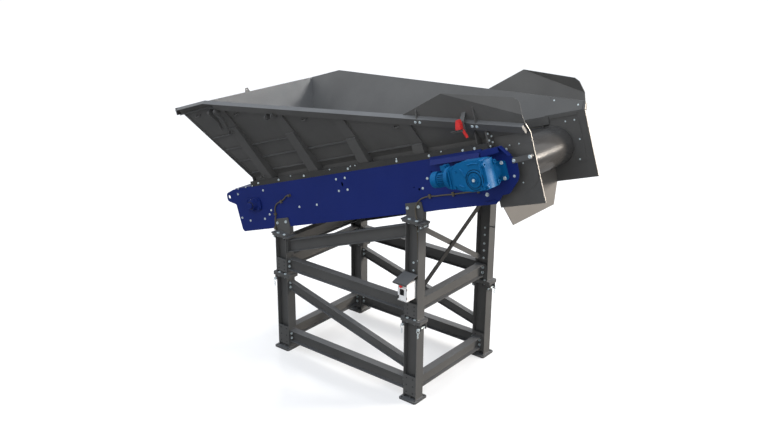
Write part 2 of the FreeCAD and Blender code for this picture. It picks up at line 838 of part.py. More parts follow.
def make_rim(end_wall):
    change = rim_channel_end_u
    s = rim_sheet
    side = joined([rim_run(rim_channel(), rim_tail_u, rim_knee_u), rim_run(rim_channel(), rim_knee_u, change),
                   rim_run(rim_block(0), change, change + s), rim_run(rim_profile(), change, rim_end_u),
                   rim_run(rim_block(0), rim_end_u - s, rim_end_u)])
    side = max(side.cut(end_wall).Solids, key=lambda solid: solid.Volume)
    u = rim_tail_u - wall_thickness
    w = rim_tail_w
    half = wall_y(w) - 4
    out = u - rim_width
    outline = [(u, w), (out, w), (out, w - rim_depth), (out + 25, w - rim_depth), (out + 25, w - rim_depth + s),
               (out + s, w - rim_depth + s), (out + s, w - s), (u, w - s)]
    tail = across(outline, -half, half)
    keep("hopper_rim", [side, other_side(side), tail], "belt")
    return side


def rib_outline(u):
    """(y, w) outline of a rib at one u: a deep tapering foot, a step, and a thin top."""
    step_w = rim_w(u) - rib_step_below_rim + 35
    o = wall_thickness
    v_step = up_wall(step_w)
    v_top = up_wall(rim_w(u)) - rim_depth + 30
    return [(wall_foot_y + o, skirt_bottom + 4), (base_rail_y - rib_foot_gap, skirt_bottom + 4),
            wall_point(v_step, rib_step_depth + o), wall_point(v_step, rib_thin_depth + o),
            wall_point(v_top, rib_thin_depth + o), wall_point(v_top, o),
            wall_point(o * (1 - lean_cosine) / lean_sine, o)]


def rib(u):
    """Folded rib, open towards the wall and stopping under the rim."""
    outline = rib_outline(u)
    outer = along(outline, u - rib_width / 2, u + rib_width / 2)
    s = rib_sheet
    (foot_y, foot_w) = outline[1]
    step_w = rim_w(u) - rib_step_below_rim + 35
    v_step = up_wall(step_w)
    v_top = up_wall(rim_w(u)) - rim_depth + 31
    o = wall_thickness
    core = [(wall_foot_y, foot_w - 1), (foot_y - s, foot_w - 1),
            wall_point(v_step - s, rib_step_depth + o - s), wall_point(v_step - s, rib_thin_depth + o - s),
            wall_point(v_top, rib_thin_depth + o - s), wall_point(v_top, o - 1),
            wall_point(0, o - 1)]
    hollow = along(core, u - rib_width / 2 + s, u + rib_width / 2 - s)
    trimmed = outer.cut(Part.makeCompound([hollow] + rim_form()))
    return max(trimmed.Solids, key=lambda solid: solid.Volume)


def stiffener(w, u0, u1):
    v = up_wall(w)
    o = wall_thickness
    outline = [wall_point(v, o), wall_point(v, o + stiffener_depth),
               wall_point(v - 8, o + stiffener_depth), wall_point(v - 8, o)]
    return along(outline, u0, u1)


def rib_block(u):
    """The rib's outer form without its hollow, for trimming what stands on it."""
    return along(rib_outline(u), u - rib_width / 2, u + rib_width / 2)


def corner_plate():
    """Strip along the corner with the tail wall, on the side wall's outer face."""
    o = wall_thickness
    low = wall_foot_w + 12
    high = rim_w(rim_tail_u) - rim_depth
    corners = []
    for w, shift in ((low, 4), (high, 4), (high, 4 + corner_strip), (low, 4 + corner_strip)):
        corners.append((tail_wall_u(w) + shift,) + wall_point(up_wall(w), o))
    return prism(corners, (0, 5 * lean_cosine, -5 * lean_sine))


def make_ribs():
    pieces = [rib(first_rib + i * rib_pitch) for i in range(rib_count)]
    half = rib_width / 2
    for row, w in enumerate(stiffener_rows):
        for i in range(rib_count - 1 - row):
            u0 = first_rib + i * rib_pitch + half
            pieces.append(stiffener(w, u0, u0 + rib_pitch - rib_width))
        left = tail_wall_u(w) + 40
        pieces.append(stiffener(w, left, first_rib - half))
    pieces.append(corner_plate())
    keep("hopper_ribs_far", pieces, "belt")
    keep("hopper_ribs_near", [other_side(p) for p in pieces], "belt")


def make_base_rails():
    """Rails that carry the skirts and bolt down on the side plates."""
    low = plate_top
    high = skirt_bottom
    outline = [(wall_foot_y, low), (base_rail_y + 8, low), (base_rail_y + 8, high + base_rail_height),
               (base_rail_y, high + base_rail_height), (base_rail_y, high), (wall_foot_y, high)]
    rail = along(outline, tail_foot_u, hopper_end_u)
    keep("base_rails", both_sides([rail]), "belt")


def wing_points():
    """Peak and end of the steep face, and two corners of the flap, from the rim below them."""
    points = []
    for u, rise, out in ((wing_peak_u, wing_peak_rise, 65.3), (wing_end_u, wing_end_rise, 21.1),
                         (flap_corner_u, flap_corner_rise, -16.4), (flap_round_u, flap_round_rise, -11.5)):
        points.append((u, wall_y(rim_w(u)) + out, rim_w(u) + rise))
    return points


def wing():
    """Far wing plate: a steep face on the rim and a flap folded inward above it."""
    low_start = (wing_start_u, wall_y(rim_w(wing_start_u)), rim_w(wing_start_u))
    low_end = (discharge_end_u - 4, wall_y(rim_w(discharge_end_u - 4)) + 1, rim_w(discharge_end_u - 4))
    wing_peak, wing_end, flap_corner, flap_round = wing_points()
    face_outline = [low_start, wing_peak, wing_end, low_end]
    normal = (Vector(*wing_end) - Vector(*low_start)).cross(Vector(*wing_peak) - Vector(*low_start))
    normal = normal.normalize() * wing_sheet
    if normal.y < 0:
        normal = normal * -1
    origin = Vector(*low_start)
    flat = []
    for p in face_outline:
        point = Vector(*p)
        flat.append(point - normal * ((point - origin).dot(normal) / normal.dot(normal)))
    face = prism(flat, normal)
    fold = [flat[1], flat[2], Vector(*flap_round), Vector(*flap_corner)]
    flap_normal = (fold[1] - fold[0]).cross(fold[3] - fold[0]).normalize() * wing_sheet
    if flap_normal.y < 0:
        flap_normal = flap_normal * -1
    point = fold[2]
    unit = flap_normal / wing_sheet
    fold[2] = point - unit * (point - fold[0]).dot(unit)
    flap = prism(fold, flap_normal)
    bend = prism([fold[0], fold[0] + normal, fold[0] + flap_normal], fold[1] - fold[0])
    return joined([face, bend, flap])


def wing_gusset(u):
    """Upright gusset with a foot bolted under the rim channel."""
    start = up_wall(rim_w(u)) - 3
    o = wall_thickness
    foot = wall_point(start, o + 4)
    tip = wall_point(start, o + rim_width - 3)
    rise = min(150, 0.42 * (u - wing_start_u))
    up = (wall_y(rim_w(u)) + 0.16 * rise, rim_w(u) + rise)
    outline = [foot, tip, (up[0] + 22, up[1] - 20), (up[0] + 9, up[1])]
    return along(outline, u - 5, u + 5)


def make_wings(rim):
    far = wing()
    keep("wing_far", [far], "belt")
    keep("wing_near", [other_side(far)], "belt")
    gussets = []
    for u in (-700, -70):
        trimmed = wing_gusset(u).cut(far).cut(rim)
        gussets.append(max(trimmed.Solids, key=lambda solid: solid.Volume))
    keep("wing_gussets", both_sides(gussets), "belt")
    return far


def lug(u, v, d1, block, radius=28):
    """Rounded ear square to u, standing on a rib or on the wall, with a hole near its tip."""
    o = wall_thickness
    tip = wall_point(v, o + d1 - radius)
    ear = joined([along([wall_point(v - 44, o), wall_point(v - 44, o + d1 * 0.4),
                         wall_point(v - radius, o + d1 - radius), wall_point(v + radius, o + d1 - radius),
                         wall_point(v + radius, o)], u - 5, u + 5),
                  rod((u - 5,) + tip, (1, 0, 0), radius, 10)])
    ear = ear.cut(rod((u - 6,) + tip, (1, 0, 0), 9, 12)).cut(Part.makeCompound(block))
    return max(ear.Solids, key=lambda solid: solid.Volume)


def stay_link(u, v, d, side):
    """S-shaped flat link with a round eye at each end, hung from the pin of an ear."""
    profile = [(v + 6, d + 16), (v + 6, d - 16), (v - 50, d - 24), (v - 110, d - 34), (v - 160, d - 30),
               (v - 236, d - 8), (v - 236, d + 26), (v - 180, d + 12), (v - 130, d - 2),
               (v - 70, d + 12), (v - 40, d + 20)]
    o = wall_thickness
    x0 = u + (5.3 if side > 0 else -17.3)
    blade = along([wall_point(a, o + b) for a, b in profile], x0, x0 + 12)
    eye = wall_point(v, o + d)
    foot = wall_point(v - 236, o + d + 8)
    link = joined([blade, rod((x0,) + eye, (1, 0, 0), 24, 12), rod((x0,) + foot, (1, 0, 0), 18, 12)])
    link = link.cut(rod((x0 - 1,) + eye, (1, 0, 0), 8.05, 14))
    return link.cut(rod((x0 - 1,) + foot, (1, 0, 0), 8, 14))


def make_stay_links():
    """Ears on the first two ribs and the wall beside them, with the two S-shaped links."""
    first = [rib_block(first_rib)] + rim_form()
    second_u = first_rib + rib_pitch
    second = [rib_block(second_u)] + rim_form()
    top = up_wall(rim_w(first_rib)) - 92
    hang = 80
    ears = []
    for u in (first_rib - 112, first_rib - 8):
        ears.append(lug(u, top, hang + 28, first))
        ears.append(stay_link(u, top, hang, 1))
        y, w = wall_point(top, wall_thickness + hang)
        ears.append(rod((u - 12, y, w), (1, 0, 0), 8, 36))
    ears[0] = ears[0].cut(ears[2])
    ears[3] = ears[3].cut(ears[5])
    for u in (first_rib - 84, first_rib - 30):
        ears.append(lug(u, top - 332, 70, first, 16))
        ears.append(lug(u, 60, 118, first, 16))
    for u in (second_u - 101, second_u + 1):
        ears.append(lug(u, up_wall(rim_w(second_u)) - 92, hang + 28, second))
    return both_sides(ears)


def bent_ring(u):
    """Half-round bar loop under the rim, standing on the wall's outer face."""
    v = up_wall(rim_w(u)) - ring_drop
    loop_radius = 36
    bar_radius = 7
    y, w = wall_point(v, wall_thickness)
    up = Vector(0, lean_sine, lean_cosine)
    across_bar = Vector(1, 0, 0)
    ring = []
    for i in range(8):
        angle = math.radians(45 * i + 22.5)
        ring.append(Vector(u - loop_radius, y, w) + across_bar * (bar_radius * math.cos(angle))
                    + up * (bar_radius * math.sin(angle)))
    section = Part.Face(Part.makePolygon(ring + ring[:1]))
    return section.revolve(Vector(u, y, w), up * -1, 180)


def make_lifting_points():
    rings = both_sides([bent_ring(u) for u in (rim_tail_u + 246, -3060, -2150, -1027)])
    u = rim_tail_u - wall_thickness - 35
    top = rim_tail_w
    eye = along([(-38, top), (38, top), (16, top + 52), (-16, top + 52)], u - 6, u + 6)
    eye = eye.cut(rod((u - 7, 0, top + 28), (1, 0, 0), 11, 14))
    keep("lugs_and_links", make_stay_links() + rings + [eye], "belt")


def make_skirt_rubbers():
    start = tail_foot_u + 10
    strip = box(start, discharge_back_u - 1, wall_foot_y - 12, wall_foot_y, belt_top + 1, skirt_bottom + 74)
    clamps = []
    for i in range(skirt_clamps):
        length = (hopper_end_u - start) / skirt_clamps
        u = start + i * length
        clamps.append(box(u + 1, u + length - 1, wall_foot_y - 20, wall_foot_y - 12, skirt_bottom + 1,
                          skirt_bottom + 82))
    keep("skirt_rubbers", both_sides([strip] + clamps), "belt")


# Discharge

def discharge_plate():
    """Far discharge cheek: an upright plate whose top continues the hopper wall."""
    y = discharge_y - discharge_sheet
    foot = wall_foot_w
    start = hopper_end_u
    upright = across([(discharge_back_u, discharge_bottom), (discharge_end_u, discharge_bottom),
                      (discharge_end_u, foot), (start, foot), (start, plate_top), (discharge_back_u, plate_top)],
                     y, discharge_y)
    o = discharge_sheet
    top0 = rim_w(start)
    top1 = rim_w(discharge_end_u)
    outward = (0, o * lean_cosine, -o * lean_sine)
    leaning = prism([(start, wall_y(foot), foot), (discharge_end_u, wall_y(foot), foot),
                     (discharge_end_u, wall_y(top1), top1), (start, wall_y(top0), top0)], outward)
    seam = along([(y, foot), (discharge_y, foot), (wall_foot_y, foot + 6), (wall_foot_y - 7, foot + 6)],
                 start, discharge_end_u)
    flange = along([(wall_foot_y + 4, plate_top + 20), (base_rail_y - 6, plate_top + 20),
                    (base_rail_y - 6, 380), (wall_y(440) + 8, 440), (wall_foot_y + 4, foot)],
                   start, start + 10)
    plate = joined([upright, leaning, seam, flange])
    bore = cross_rod(0, y - 1, discharge_y + 1, 0, shaft_hole_radius)
    return plate.cut(bore)


def cheek_panel_corners():
    """(u, w) corners of the panel that covers the seam inside, from the foot to the rim."""
    foot = wall_foot_w + 5
    return [(hopper_end_u - 47, foot), (374, foot), (389, rim_w(389) - 5),
            (hopper_end_u + 21, rim_w(hopper_end_u + 21) - 5)]


def make_discharge():
    far = discharge_plate()
    keep("discharge_plate_far", [far], "belt")
    keep("discharge_plate_near", [other_side(far)], "belt")
    y = discharge_y - discharge_sheet - liner_sheet
    corners = [(-70, -205, 10), (320, -205, 10), (320, 262, 10), (-20, 262, 10), (-70, 200, 10)]
    liner = rounded_across(corners, y, y + liner_sheet)
    liner = liner.cut(cross_rod(0, y - 1, y + liner_sheet + 1, 0, shaft_hole_radius))
    doubler = rounded_across([(-95, -232, 10), (400, -232, 150), (400, 205, 20), (-95, 205, 20)],
                             discharge_y, discharge_y + 6)
    doubler = doubler.cut(cross_rod(0, discharge_y - 1, discharge_y + 7, 0, shaft_hole_radius))
    panel = prism([(u,) + wall_point(up_wall(w), 0) for u, w in cheek_panel_corners()],
                  (0, -liner_sheet * lean_cosine, liner_sheet * lean_sine))
    foot = box(hopper_end_u + 2, 314, wall_foot_y - 7 - liner_sheet, wall_foot_y - 7, wall_foot_w - 33,
               wall_foot_w + 2)
    keep("discharge_liners", both_sides([liner, doubler, panel, foot]), "belt")
    keep("chute_back_plate", [chute_plate()], "belt")


def chute_plate():
    """Plate behind the stream of material, tapered below the cheeks, with a folded top."""
    half = discharge_y - discharge_sheet
    top_u = discharge_back_u + 41
    foot_u = top_u - 39
    sheet = 6
    top_w = -belt_top - 15.7
    slab = across([(top_u - sheet, top_w), (top_u, top_w), (foot_u, -610), (foot_u - sheet, -610)],
                  -half, half)
    trims = []
    for side in (-1, 1):
        trims.append(prism([(foot_u - 20, side * half, -380), (foot_u - 20, side * chute_foot, -611),
                            (foot_u - 20, side * (half + 1), -611)], (80, 0, 0)))
    angle = across([(top_u - 40, top_w - 6), (top_u - sheet, top_w - 6), (top_u - sheet, top_w),
                    (top_u - 40, top_w)], -half, half)
    return joined([slab.cut(Part.makeCompound(trims)), angle])


# Drive

def gearbox():
    """Shaft-mounted bevel gearbox: housing, end cover, hubs, lugs and motor adapter on the near side."""
    near = -gearbox_near_y
    far = -gearbox_far_y
    end = gearbox_end_u
    outline = [(-330, -66, 30), (-250, -70, 20), (-179, -100, 30), (-111, -108, 20), (-76, -116, 10),
               (end, -116, 12), (end, 186, 12), (-120, 190, 40), (-215, 168, 40), (-330, 132, 30)]
    body = rounded_across(outline, near + 22, far)
    section = along([(near, -130), (far, -130), (far, 118), (far - 60, 172), (far - 120, 190),
                     (near, 200)], -340, end + 1)
    body = body.common(section)
    front = rounded_across([(-245, -26, 30), (-179, -79, 20), (-111, -86, 20), (-76, -101, 10), (29, -112, 20),
                            (end, -104, 10), (end, 184, 16), (-104, 190, 30), (-187, 178, 30),
                            (-245, 120, 40)], near, near + 22)
    cover = end_cover(near, far)
    hub = cross_rod(0, far, -plate_outer_y - bearing_depth - 1, 0, 92)
    boss = cross_rod(0, near - 10, near, 0, 76)
    cap = cross_rod(0, near - 22, near - 10, 0, 42)
    adapter = rod((-352, -motor_axis_y, motor_axis_w), (1, 0, 0), motor_flange_radius, 28)
    ribs = [box(-305 + i * 46, -293 + i * 46, near + 8, near + 22, -60 - i * 4, 128 + i * 12)
            for i in range(2)]
    body = joined([body, front, hub, boss, cap, adapter, cover] + ribs)
    for y, w in cover_lugs(near, far):
        body = body.cut(rod((end - 8, y, w), (1, 0, 0), 9, 60))
    bore = head_shaft_radius + shaft_clearance
    return body.cut(cross_rod(0, near + 10, -plate_outer_y, 0, bore))


def cover_lugs(near, far):
    return [(near + 24, 128), (near + 24, -70), (far - 38, 124), (far - 38, -74)]


def end_cover(near, far):
    """Bowed cover on the end that faces away from the motor, with four bored lugs."""
    end = gearbox_end_u
    bow = Part.Arc(Vector(end + 26, near + 20, -105), Vector(end + 36, (near + far) / 2 - 10, -105),
                   Vector(end + 8, far - 40, -105)).toShape()
    back = [Part.LineSegment(Vector(end + 8, far - 40, -105), Vector(end, far - 40, -105)).toShape(),
            Part.LineSegment(Vector(end, far - 40, -105), Vector(end, near + 20, -105)).toShape(),
            Part.LineSegment(Vector(end, near + 20, -105), Vector(end + 26, near + 20, -105)).toShape()]
    shell = Part.Face(Part.Wire([bow] + back)).extrude(Vector(0, 0, 275))
    return joined([shell] + [rod((end - 6, y, w), (1, 0, 0), 22, 36) for y, w in cover_lugs(near, far)])


def make_drive():
    centre_bolt = hex_head((0, -gearbox_near_y - 22, 0), (0, -1, 0), 14, 8)
    keep("gearbox", [gearbox(), centre_bolt], "belt")
    y = -motor_axis_y
    w = motor_axis_w
    flange = rod((-368, y, w), (1, 0, 0), motor_flange_radius - 4, 16)
    stator = rod((-490, y, w), (1, 0, 0), motor_radius - 14, 122)
    fins = []
    for i in range(24):
        angle = math.radians(15 * i)
        if 60 <= 15 * i <= 120:
            continue
        fin = box(-482, -374, -2, 2, motor_radius - 20, motor_radius)
        fin.rotate(Vector(0, 0, 0), Vector(1, 0, 0), math.degrees(angle) - 90)
        fin.translate(Vector(0, y, w))
        fins.append(fin)
    body = joined([flange, stator] + fins)
    cowl = rod((-568, y, w), (1, 0, 0), fan_cowl_radius, 78)
    cowl = cowl.makeFillet(18, [e for e in cowl.Edges if abs(e.BoundBox.XMax + 568) < 1])
    box_w = w + motor_radius
    terminal = joined([box(-426, -380, y - 30, y + 34, box_w - 28, box_w + 8),
                       box(-432, -374, y - 36, y + 48, box_w + 8, box_w + 54)]).cut(stator)
    keep("gear_motor", [body, cowl, terminal], "belt")


def make_canopy():
    """Folded hood over the drive, along the near plate's top edge and nose."""
    y = -plate_outer_y
    sheet = 5
    start = -757
    middle = -103
    end = 135
    main = along([(y, 198), (y - sheet, 198), (y - sheet, 229), (y - 50, 208), (y - 74, 162),
                  (y - 79, 164), (y - 53, 213), (y, 237)], start, middle)
    main = main.cut(across([(start - 1, 150), (start + 35, 150), (start + 33, 205), (start, 240),
                            (start - 1, 240)], y - 90, y - sheet))
    front = across([(middle + 18, 163), (end + 5, 190), (end - 6, 241), (middle + 27, 229)], y - 80, y - 75)
    top = prism([(middle + 27, y - 80, 224), (middle + 27, y - 80, 229), (end - 6, y - 80, 241),
                 (end - 6, y - 80, 236)], (0, 80, 0))
    back = across([(middle + 20, 200), (end - 4, 200), (end - 6, 236), (middle + 27, 224)], y - sheet, y)
    slope = across([(end - 6, 234), (end - 6, 240), (222, 138), (217, 136)], y - 58, y)
    keep("drive_canopy", [main, joined([front, top, back, slope])], "belt")


# Trip switch on the near rim

def make_trip_switch(wing_plate):
    """Switch on a folded strip that hangs over the rim from the near wing."""
    u = -185
    rim = rim_w(u)
    tail_edge = rim_w(u - 25)
    corner = wall_point(up_wall(tail_edge), wall_thickness + rim_width)
    face = corner[0] + bracket_gap
    strip = [(face - 75, rim + 92), (face + 6, rim - 8), (face + 6, rim - 110), (face, rim - 110),
             (face, rim - 11), (face - 75, rim + 81)]
    bracket = along(strip, u - 25, u + 25).cut(wing_plate)
    bracket = max(bracket.Solids, key=lambda solid: solid.Volume)
    shelf = box(u - 140, u - 25, face, face + 6, rim - 110, rim - 90)
    tab = box(u - 140, u - 80, face, face + 34, rim - 96, rim - 90)
    front = face + 6
    pivot_u = u - 4
    pivot_w = rim - 98
    pin = cross_rod(pivot_u, front, front + 26, pivot_w, 6)
    cap = cross_rod(pivot_u, front + 19, front + 26, pivot_w, 11)
    housing = rounded_across([(u - 62, rim - 82, 6), (u + 2, rim - 82, 6), (u + 6, rim - 30, 8),
                              (u - 8, rim + 16, 10), (u - 34, rim + 16, 10), (u - 50, rim - 24, 12)],
                             front, front + 44)
    keep("trip_bracket", [other_side(joined([bracket, shelf, tab, pin, cap]))], "belt")
    keep("trip_switch_body", [other_side(housing)], "belt")
    lever = rounded_across([(pivot_u - 13, pivot_w + 13, 9), (pivot_u + 13, pivot_w + 13, 9),
                            (pivot_u + 50, pivot_w - 74, 7), (pivot_u + 30, pivot_w - 80, 7)],
                           front + 1, front + 18)
    bore = cross_rod(pivot_u, front - 1, front + 20, pivot_w, 6 + shaft_clearance)
    keep("trip_lever", [other_side(lever.cut(bore))], "belt")


# Control box and cables

def make_controls():
    front = -box_front_y
    back = -(column_pitch_y / 2 + column_width / 2)
    plate = box(box_left_x - 14, box_right_x + 20, back - 8, back, box_bottom_z - 12, box_top_z + 10)
    body = box(box_left_x, box_right_x, front, back - 8, box_bottom_z, box_top_z)
    upright = [e for e in body.Edges if e.BoundBox.ZLength > 100]
    body = body.makeFillet(6, upright)
    estop_x = box_left_x + 60
    estop_z = box_top_z - 24
    knob_x = box_left_x + 62
    knob_z = box_bottom_z + 104
    collar = rod((estop_x, front - 6, estop_z), (0, 1, 0), 18, 6)
    bezel = box(knob_x - 30, knob_x + 30, front - 4, front, knob_z - 36, knob_z + 36)
    body = body.cut(rod((estop_x, front - 8, estop_z), (0, 1, 0), 8, 40))
    collar = collar.cut(rod((estop_x, front - 8, estop_z), (0, 1, 0), 8, 10))
    body = body.cut(rod((knob_x, front - 8, knob_z), (0, 1, 0), 7, 40))
    bezel = bezel.cut(rod((knob_x, front - 8, knob_z), (0, 1, 0), 7, 10))
    left = box_left_x - 40
    right = box_right_x + 20
    roof = prism([(left, front - 38, box_top_z + 12), (left, back, box_top_z + 66),
                  (left, back, box_top_z + 60), (left, front - 38, box_top_z + 6)], (right - left, 0, 0))
    lip = box(left, right, front - 38, front - 34, box_top_z - 8, box_top_z + 12)
    stay = box(box_left_x + 20, box_right_x - 20, back - 8, back, box_top_z + 10, box_top_z + 60)
    roof = joined([roof, lip, stay])
    ears = [box(box_right_x, box_right_x + 12, back - 14, back - 8, z, z + 16)
            for z in (box_bottom_z + 4, box_top_z - 24)]
    keep("control_box", [body, collar, bezel])
    keep("control_mount", [plate, roof] + ears)
    stem = rod((estop_x, front - 26, estop_z), (0, 1, 0), 8 - shaft_clearance, 50)
    head = rod((estop_x, front - 6 - estop_travel - 22, estop_z), (0, 1, 0), 19, 21)
    head = head.makeFillet(6, [e for e in head.Edges if abs(e.BoundBox.YMin - head.BoundBox.YMin) < 0.1
                               and e.BoundBox.YLength < 0.1])
    keep("estop_button", [joined([head, stem])])
    knob_shaft = rod((knob_x, front - 8, knob_z), (0, 1, 0), 7 - shaft_clearance, 30)
    disc = rod((knob_x, front - 16, knob_z), (0, 1, 0), 20, 11.5)
    grip = box(knob_x - 5, knob_x + 5, front - 34, front - 15, knob_z - 19, knob_z + 19)
    keep("selector_knob", [joined([knob_shaft, disc, grip])])


def cable(points, radius):
    """Round cable along straight runs joined by the largest arcs that fit."""
    corners = [Vector(*p) for p in points]
    edges = []
    start = corners[0]
    radii = []
    for i in range(1, len(corners) - 1):
        before = corners[i - 1] - corners[i]
        after = corners[i + 1] - corners[i]
        turn = math.pi - before.getAngle(after)
        bend = 0.45 * min(before.Length, after.Length) / math.tan(turn / 2)
        reach = bend * math.tan(turn / 2)
        before.normalize()
        after.normalize()
        enter = corners[i] + before * reach
        leave = corners[i] + after * reach
        inward = (before + after).normalize()
        middle = corners[i] + inward * (bend / math.cos(turn / 2) - bend)
        edges.append(Part.LineSegment(start, enter).toShape())
        edges.append(Part.Arc(enter, middle, leave).toShape())
        radii.append(bend)
        start = leave
    edges.append(Part.LineSegment(start, corners[-1]).toShape())
    wire = Part.Wire(edges)
    circle = Part.Wire(Part.makeCircle(radius, corners[0], corners[1] - corners[0]))
    tube = wire.makePipeShell([circle], True, False)
    expected = math.pi * radius ** 2 * wire.Length
    print("cable radii", [round(r) for r in radii], "volume ratio", round(tube.Volume / expected, 4))
    return tube


def belt_to_world(u, y, w):
    return tuple(belt_frame.multVec(Vector(u, y, w)))


def clip_block(u, w, half_u, half_w):
    """Clamp block on the near plate, still without the cable's groove."""
    lay = plate_outer_y + 2 * cable_radius + 4
    return box(u - half_u, u + half_u, -lay, -plate_outer_y, w - half_w, w + half_w)


def drive_cable_points():
    """From the motor's side along the near plate, down through the head column to the box."""
    lay = -plate_outer_y - cable_radius
    run = [(-205, lay, -168), (-300, lay, -173), (-430, lay, -171), (-566, lay, -174), (-700, lay, -170),
           (-800, lay, -171), (-885, lay, -163), (-945, lay - 1, -170)]
    points = [belt_to_world(*p) for p in run]
    web_y = -column_pitch_y / 2 - 18
    cap = cap_z(column_pitch_x / 2)
    points += [(1024, -682, 2386), (988, -687, 2338), (970, -688, 2286), (969, -690, 2246),
               (980, -698, 2212), (996, -707, 2186), (1007, -713, cap + 16), (1011, -714, cap - 24)]
    points += [(1020, web_y, 2040), (1028, web_y - 1, 1940), (1034, web_y, 1830), (1034, web_y - 1, 1710),
               (1031, web_y, 1600), (1027, web_y - 1, 1525), (1025, web_y - 8, 1476),
               (1025, web_y - 26, 1447)]
    points.append((1025, -(column_pitch_y / 2 + column_width / 2), 1447))
    return points


def tail_cable_points():
    lay = -plate_outer_y - cable_radius
    run = [(-2962, lay - 8, 52), (-3004, lay - 8, 52), (-3056, lay - 2, 18), (-3112, lay, -6),
           (-3176, lay, -17), (-3230, lay, -42), (-3264, lay, -88), (-3274, lay, -142),
           (-3280, lay, -186)]
    points = [belt_to_world(*p) for p in run]
    front = -plate_outer_y - saddle_plate - cable_radius
    base = cap_z(-column_pitch_x / 2) + saddle_base
    points += [(-1144, front - 2, 1664), (-1140, front - 2, 1618), (-1140, front - 2, base + 40)]
    return points


def make_cables():
    drive_points = drive_cable_points()
    tail_points = tail_cable_points()
    keep("drive_cable", [cable(drive_points, cable_radius)])
    keep("tail_cable", [cable(tail_points, cable_radius)])
    groove = cable_radius + running_gap
    blocks = [clip_block(u, -172, 12, 22) for u in (-250, -566)] + [clip_block(-870, -165, 12, 22)]
    drive_groove = cable(drive_points, groove)
    clips = [block.cut(drive_groove) for block in on_belt(blocks)]
    blocks = [clip_block(-3118, -8, 12, 20), clip_block(-3275, -150, 20, 12)]
    tail_groove = cable(tail_points, groove)
    clips += [block.cut(tail_groove) for block in on_belt(blocks)]
    lay = -plate_outer_y - cable_radius
    gland = box(-2962, -2936, lay - 24, -plate_outer_y, 38, 66)
    front = -plate_outer_y - saddle_plate
    base = cap_z(-column_pitch_x / 2) + saddle_base
    socket = box(-1154, -1122, front - 24, front, base, base + 40)
    return clips + on_belt([gland]) + [socket]


def nose_strap():
    """Bar from the near nose to the cheek's front edge, with its spacer and two bolts."""
    face = plate_outer_y
    bar = rounded_across([(214, 52, 8), (440, 71, 8), (437, 116, 8), (223, 108, 8)], face, face + 10)
    spacer = cross_rod(385, discharge_y + 6, face, 90, 17)
    bolts = [hex_head((u, face + 10, w), (0, 1, 0)) for u, w in ((238, 80), (422, 95))]
    return [joined([bar, spacer])] + bolts


def make_hopper_bolts(fittings):
    """Bolts of the hopper, the conveyor and the discharge, with the cable clips."""
    heads = []
    rail = base_rail_y + 8
    low = skirt_bottom + 16
    high = skirt_bottom + 40
    for u, w in ((-3450, low), (-3078, low), (-2860, high), (-2641, low), (-2210, high), (-1929, low),
                 (-1884, high), (-1813, high), (-1208, high), (-1213, low), (-769, low), (-605, high),
                 (-336, low), (-191, low)):
        heads.append(hex_head((u, rail, w), (0, 1, 0), small_bolt_head, small_bolt_height))
    plate_bolts = [(plate_tail + 83, 155), (plate_tail + 561, 155), (-2840, -103), (-3340, -100),
                   (plate_tail + 567, -147), (plate_tail + 48, -146), (plate_tail + 189, -195),
                   (plate_tail + 462, -195), (-2545, -103), (-2143, 156), (-2006, 157), (-2143, 21),
                   (-2007, 22), (-857, 23), (-945, -74), (200, -71)]
    for u, w in plate_bolts:
        heads.append(hex_head((u, plate_outer_y, w), (0, 1, 0), small_bolt_head, small_bolt_height))
    heads.append(hex_head((-160, plate_outer_y, -220), (0, 1, 0), 19, 12))
    for u, w in ((150, 217), (259, 219), (106, 183), (260, 26), (216, -162)):
        out = discharge_y + (6 if w < 200 else 0)
        heads.append(hex_head((u, out, w), (0, 1, 0), small_bolt_head, small_bolt_height))
    liner_face = discharge_y - discharge_sheet - liner_sheet
    for u, w in ((161, 238), (269, 238), (285, 30), (240, -181)):
        heads.append(hex_head((u, liner_face, w), (0, -1, 0), 9, 3))
    for u, w in ((28, 468), (326, 382)):
        place = wall_point(up_wall(w), -liner_sheet)
        heads.append(hex_head((u,) + place, (0, -lean_cosine, lean_sine), 9, 3))
    heads += nose_strap()
    keep("hopper_bolts", on_belt(both_sides(heads)) + fittings)


def open_cable_way():
    """Hole for the drive cable through the cap and the saddle of the near head column."""
    hole = rod(cable_pass + (cap_z(column_pitch_x / 2) - 60,), (0, 0, 1), 2 * cable_radius, 100)
    for name in ("upper_columns_near", "saddle_brackets"):
        parts[name] = [shape.cut(hole) for shape in parts[name]]


def make_everything():
    make_stand()
    make_stand_bolts()
    far_plate = side_plate()
    keep("side_plate_far", [far_plate], "belt")
    keep("side_plate_near", [other_side(far_plate)], "belt")
    make_cross_members()
    make_tail_cover()
    make_belt()
    make_drums()
    make_bearings()
    make_rollers()
    make_scraper()
    end_wall = tail_wall()
    far_wall = side_wall().cut(end_wall)
    keep("hopper_tail_wall", [end_wall], "belt")
    keep("hopper_wall_far", [far_wall], "belt")
    keep("hopper_wall_near", [other_side(far_wall)], "belt")
    rim = make_rim(end_wall)
    make_ribs()
    make_base_rails()
    wing_plate = make_wings(rim)
    make_lifting_points()
    make_skirt_rubbers()
    make_discharge()
    make_drive()
    make_canopy()
    make_trip_switch(wing_plate)
    make_controls()
    make_hopper_bolts(make_cables())
    open_cable_way()


make_everything()
os.makedirs("parts", exist_ok=True)
for name, shapes in parts.items():
    solids = [solid for shape in shapes for solid in shape.Solids]
    shape = solids[0] if len(solids) == 1 else Part.makeCompound(solids)
    shape.exportStep("parts/" + name + ".step")
print(len(parts), "nodes")
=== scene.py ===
"""Finishes and trim of a bulk material feeder: a flared hopper over an inclined belt on a bolted stand."""

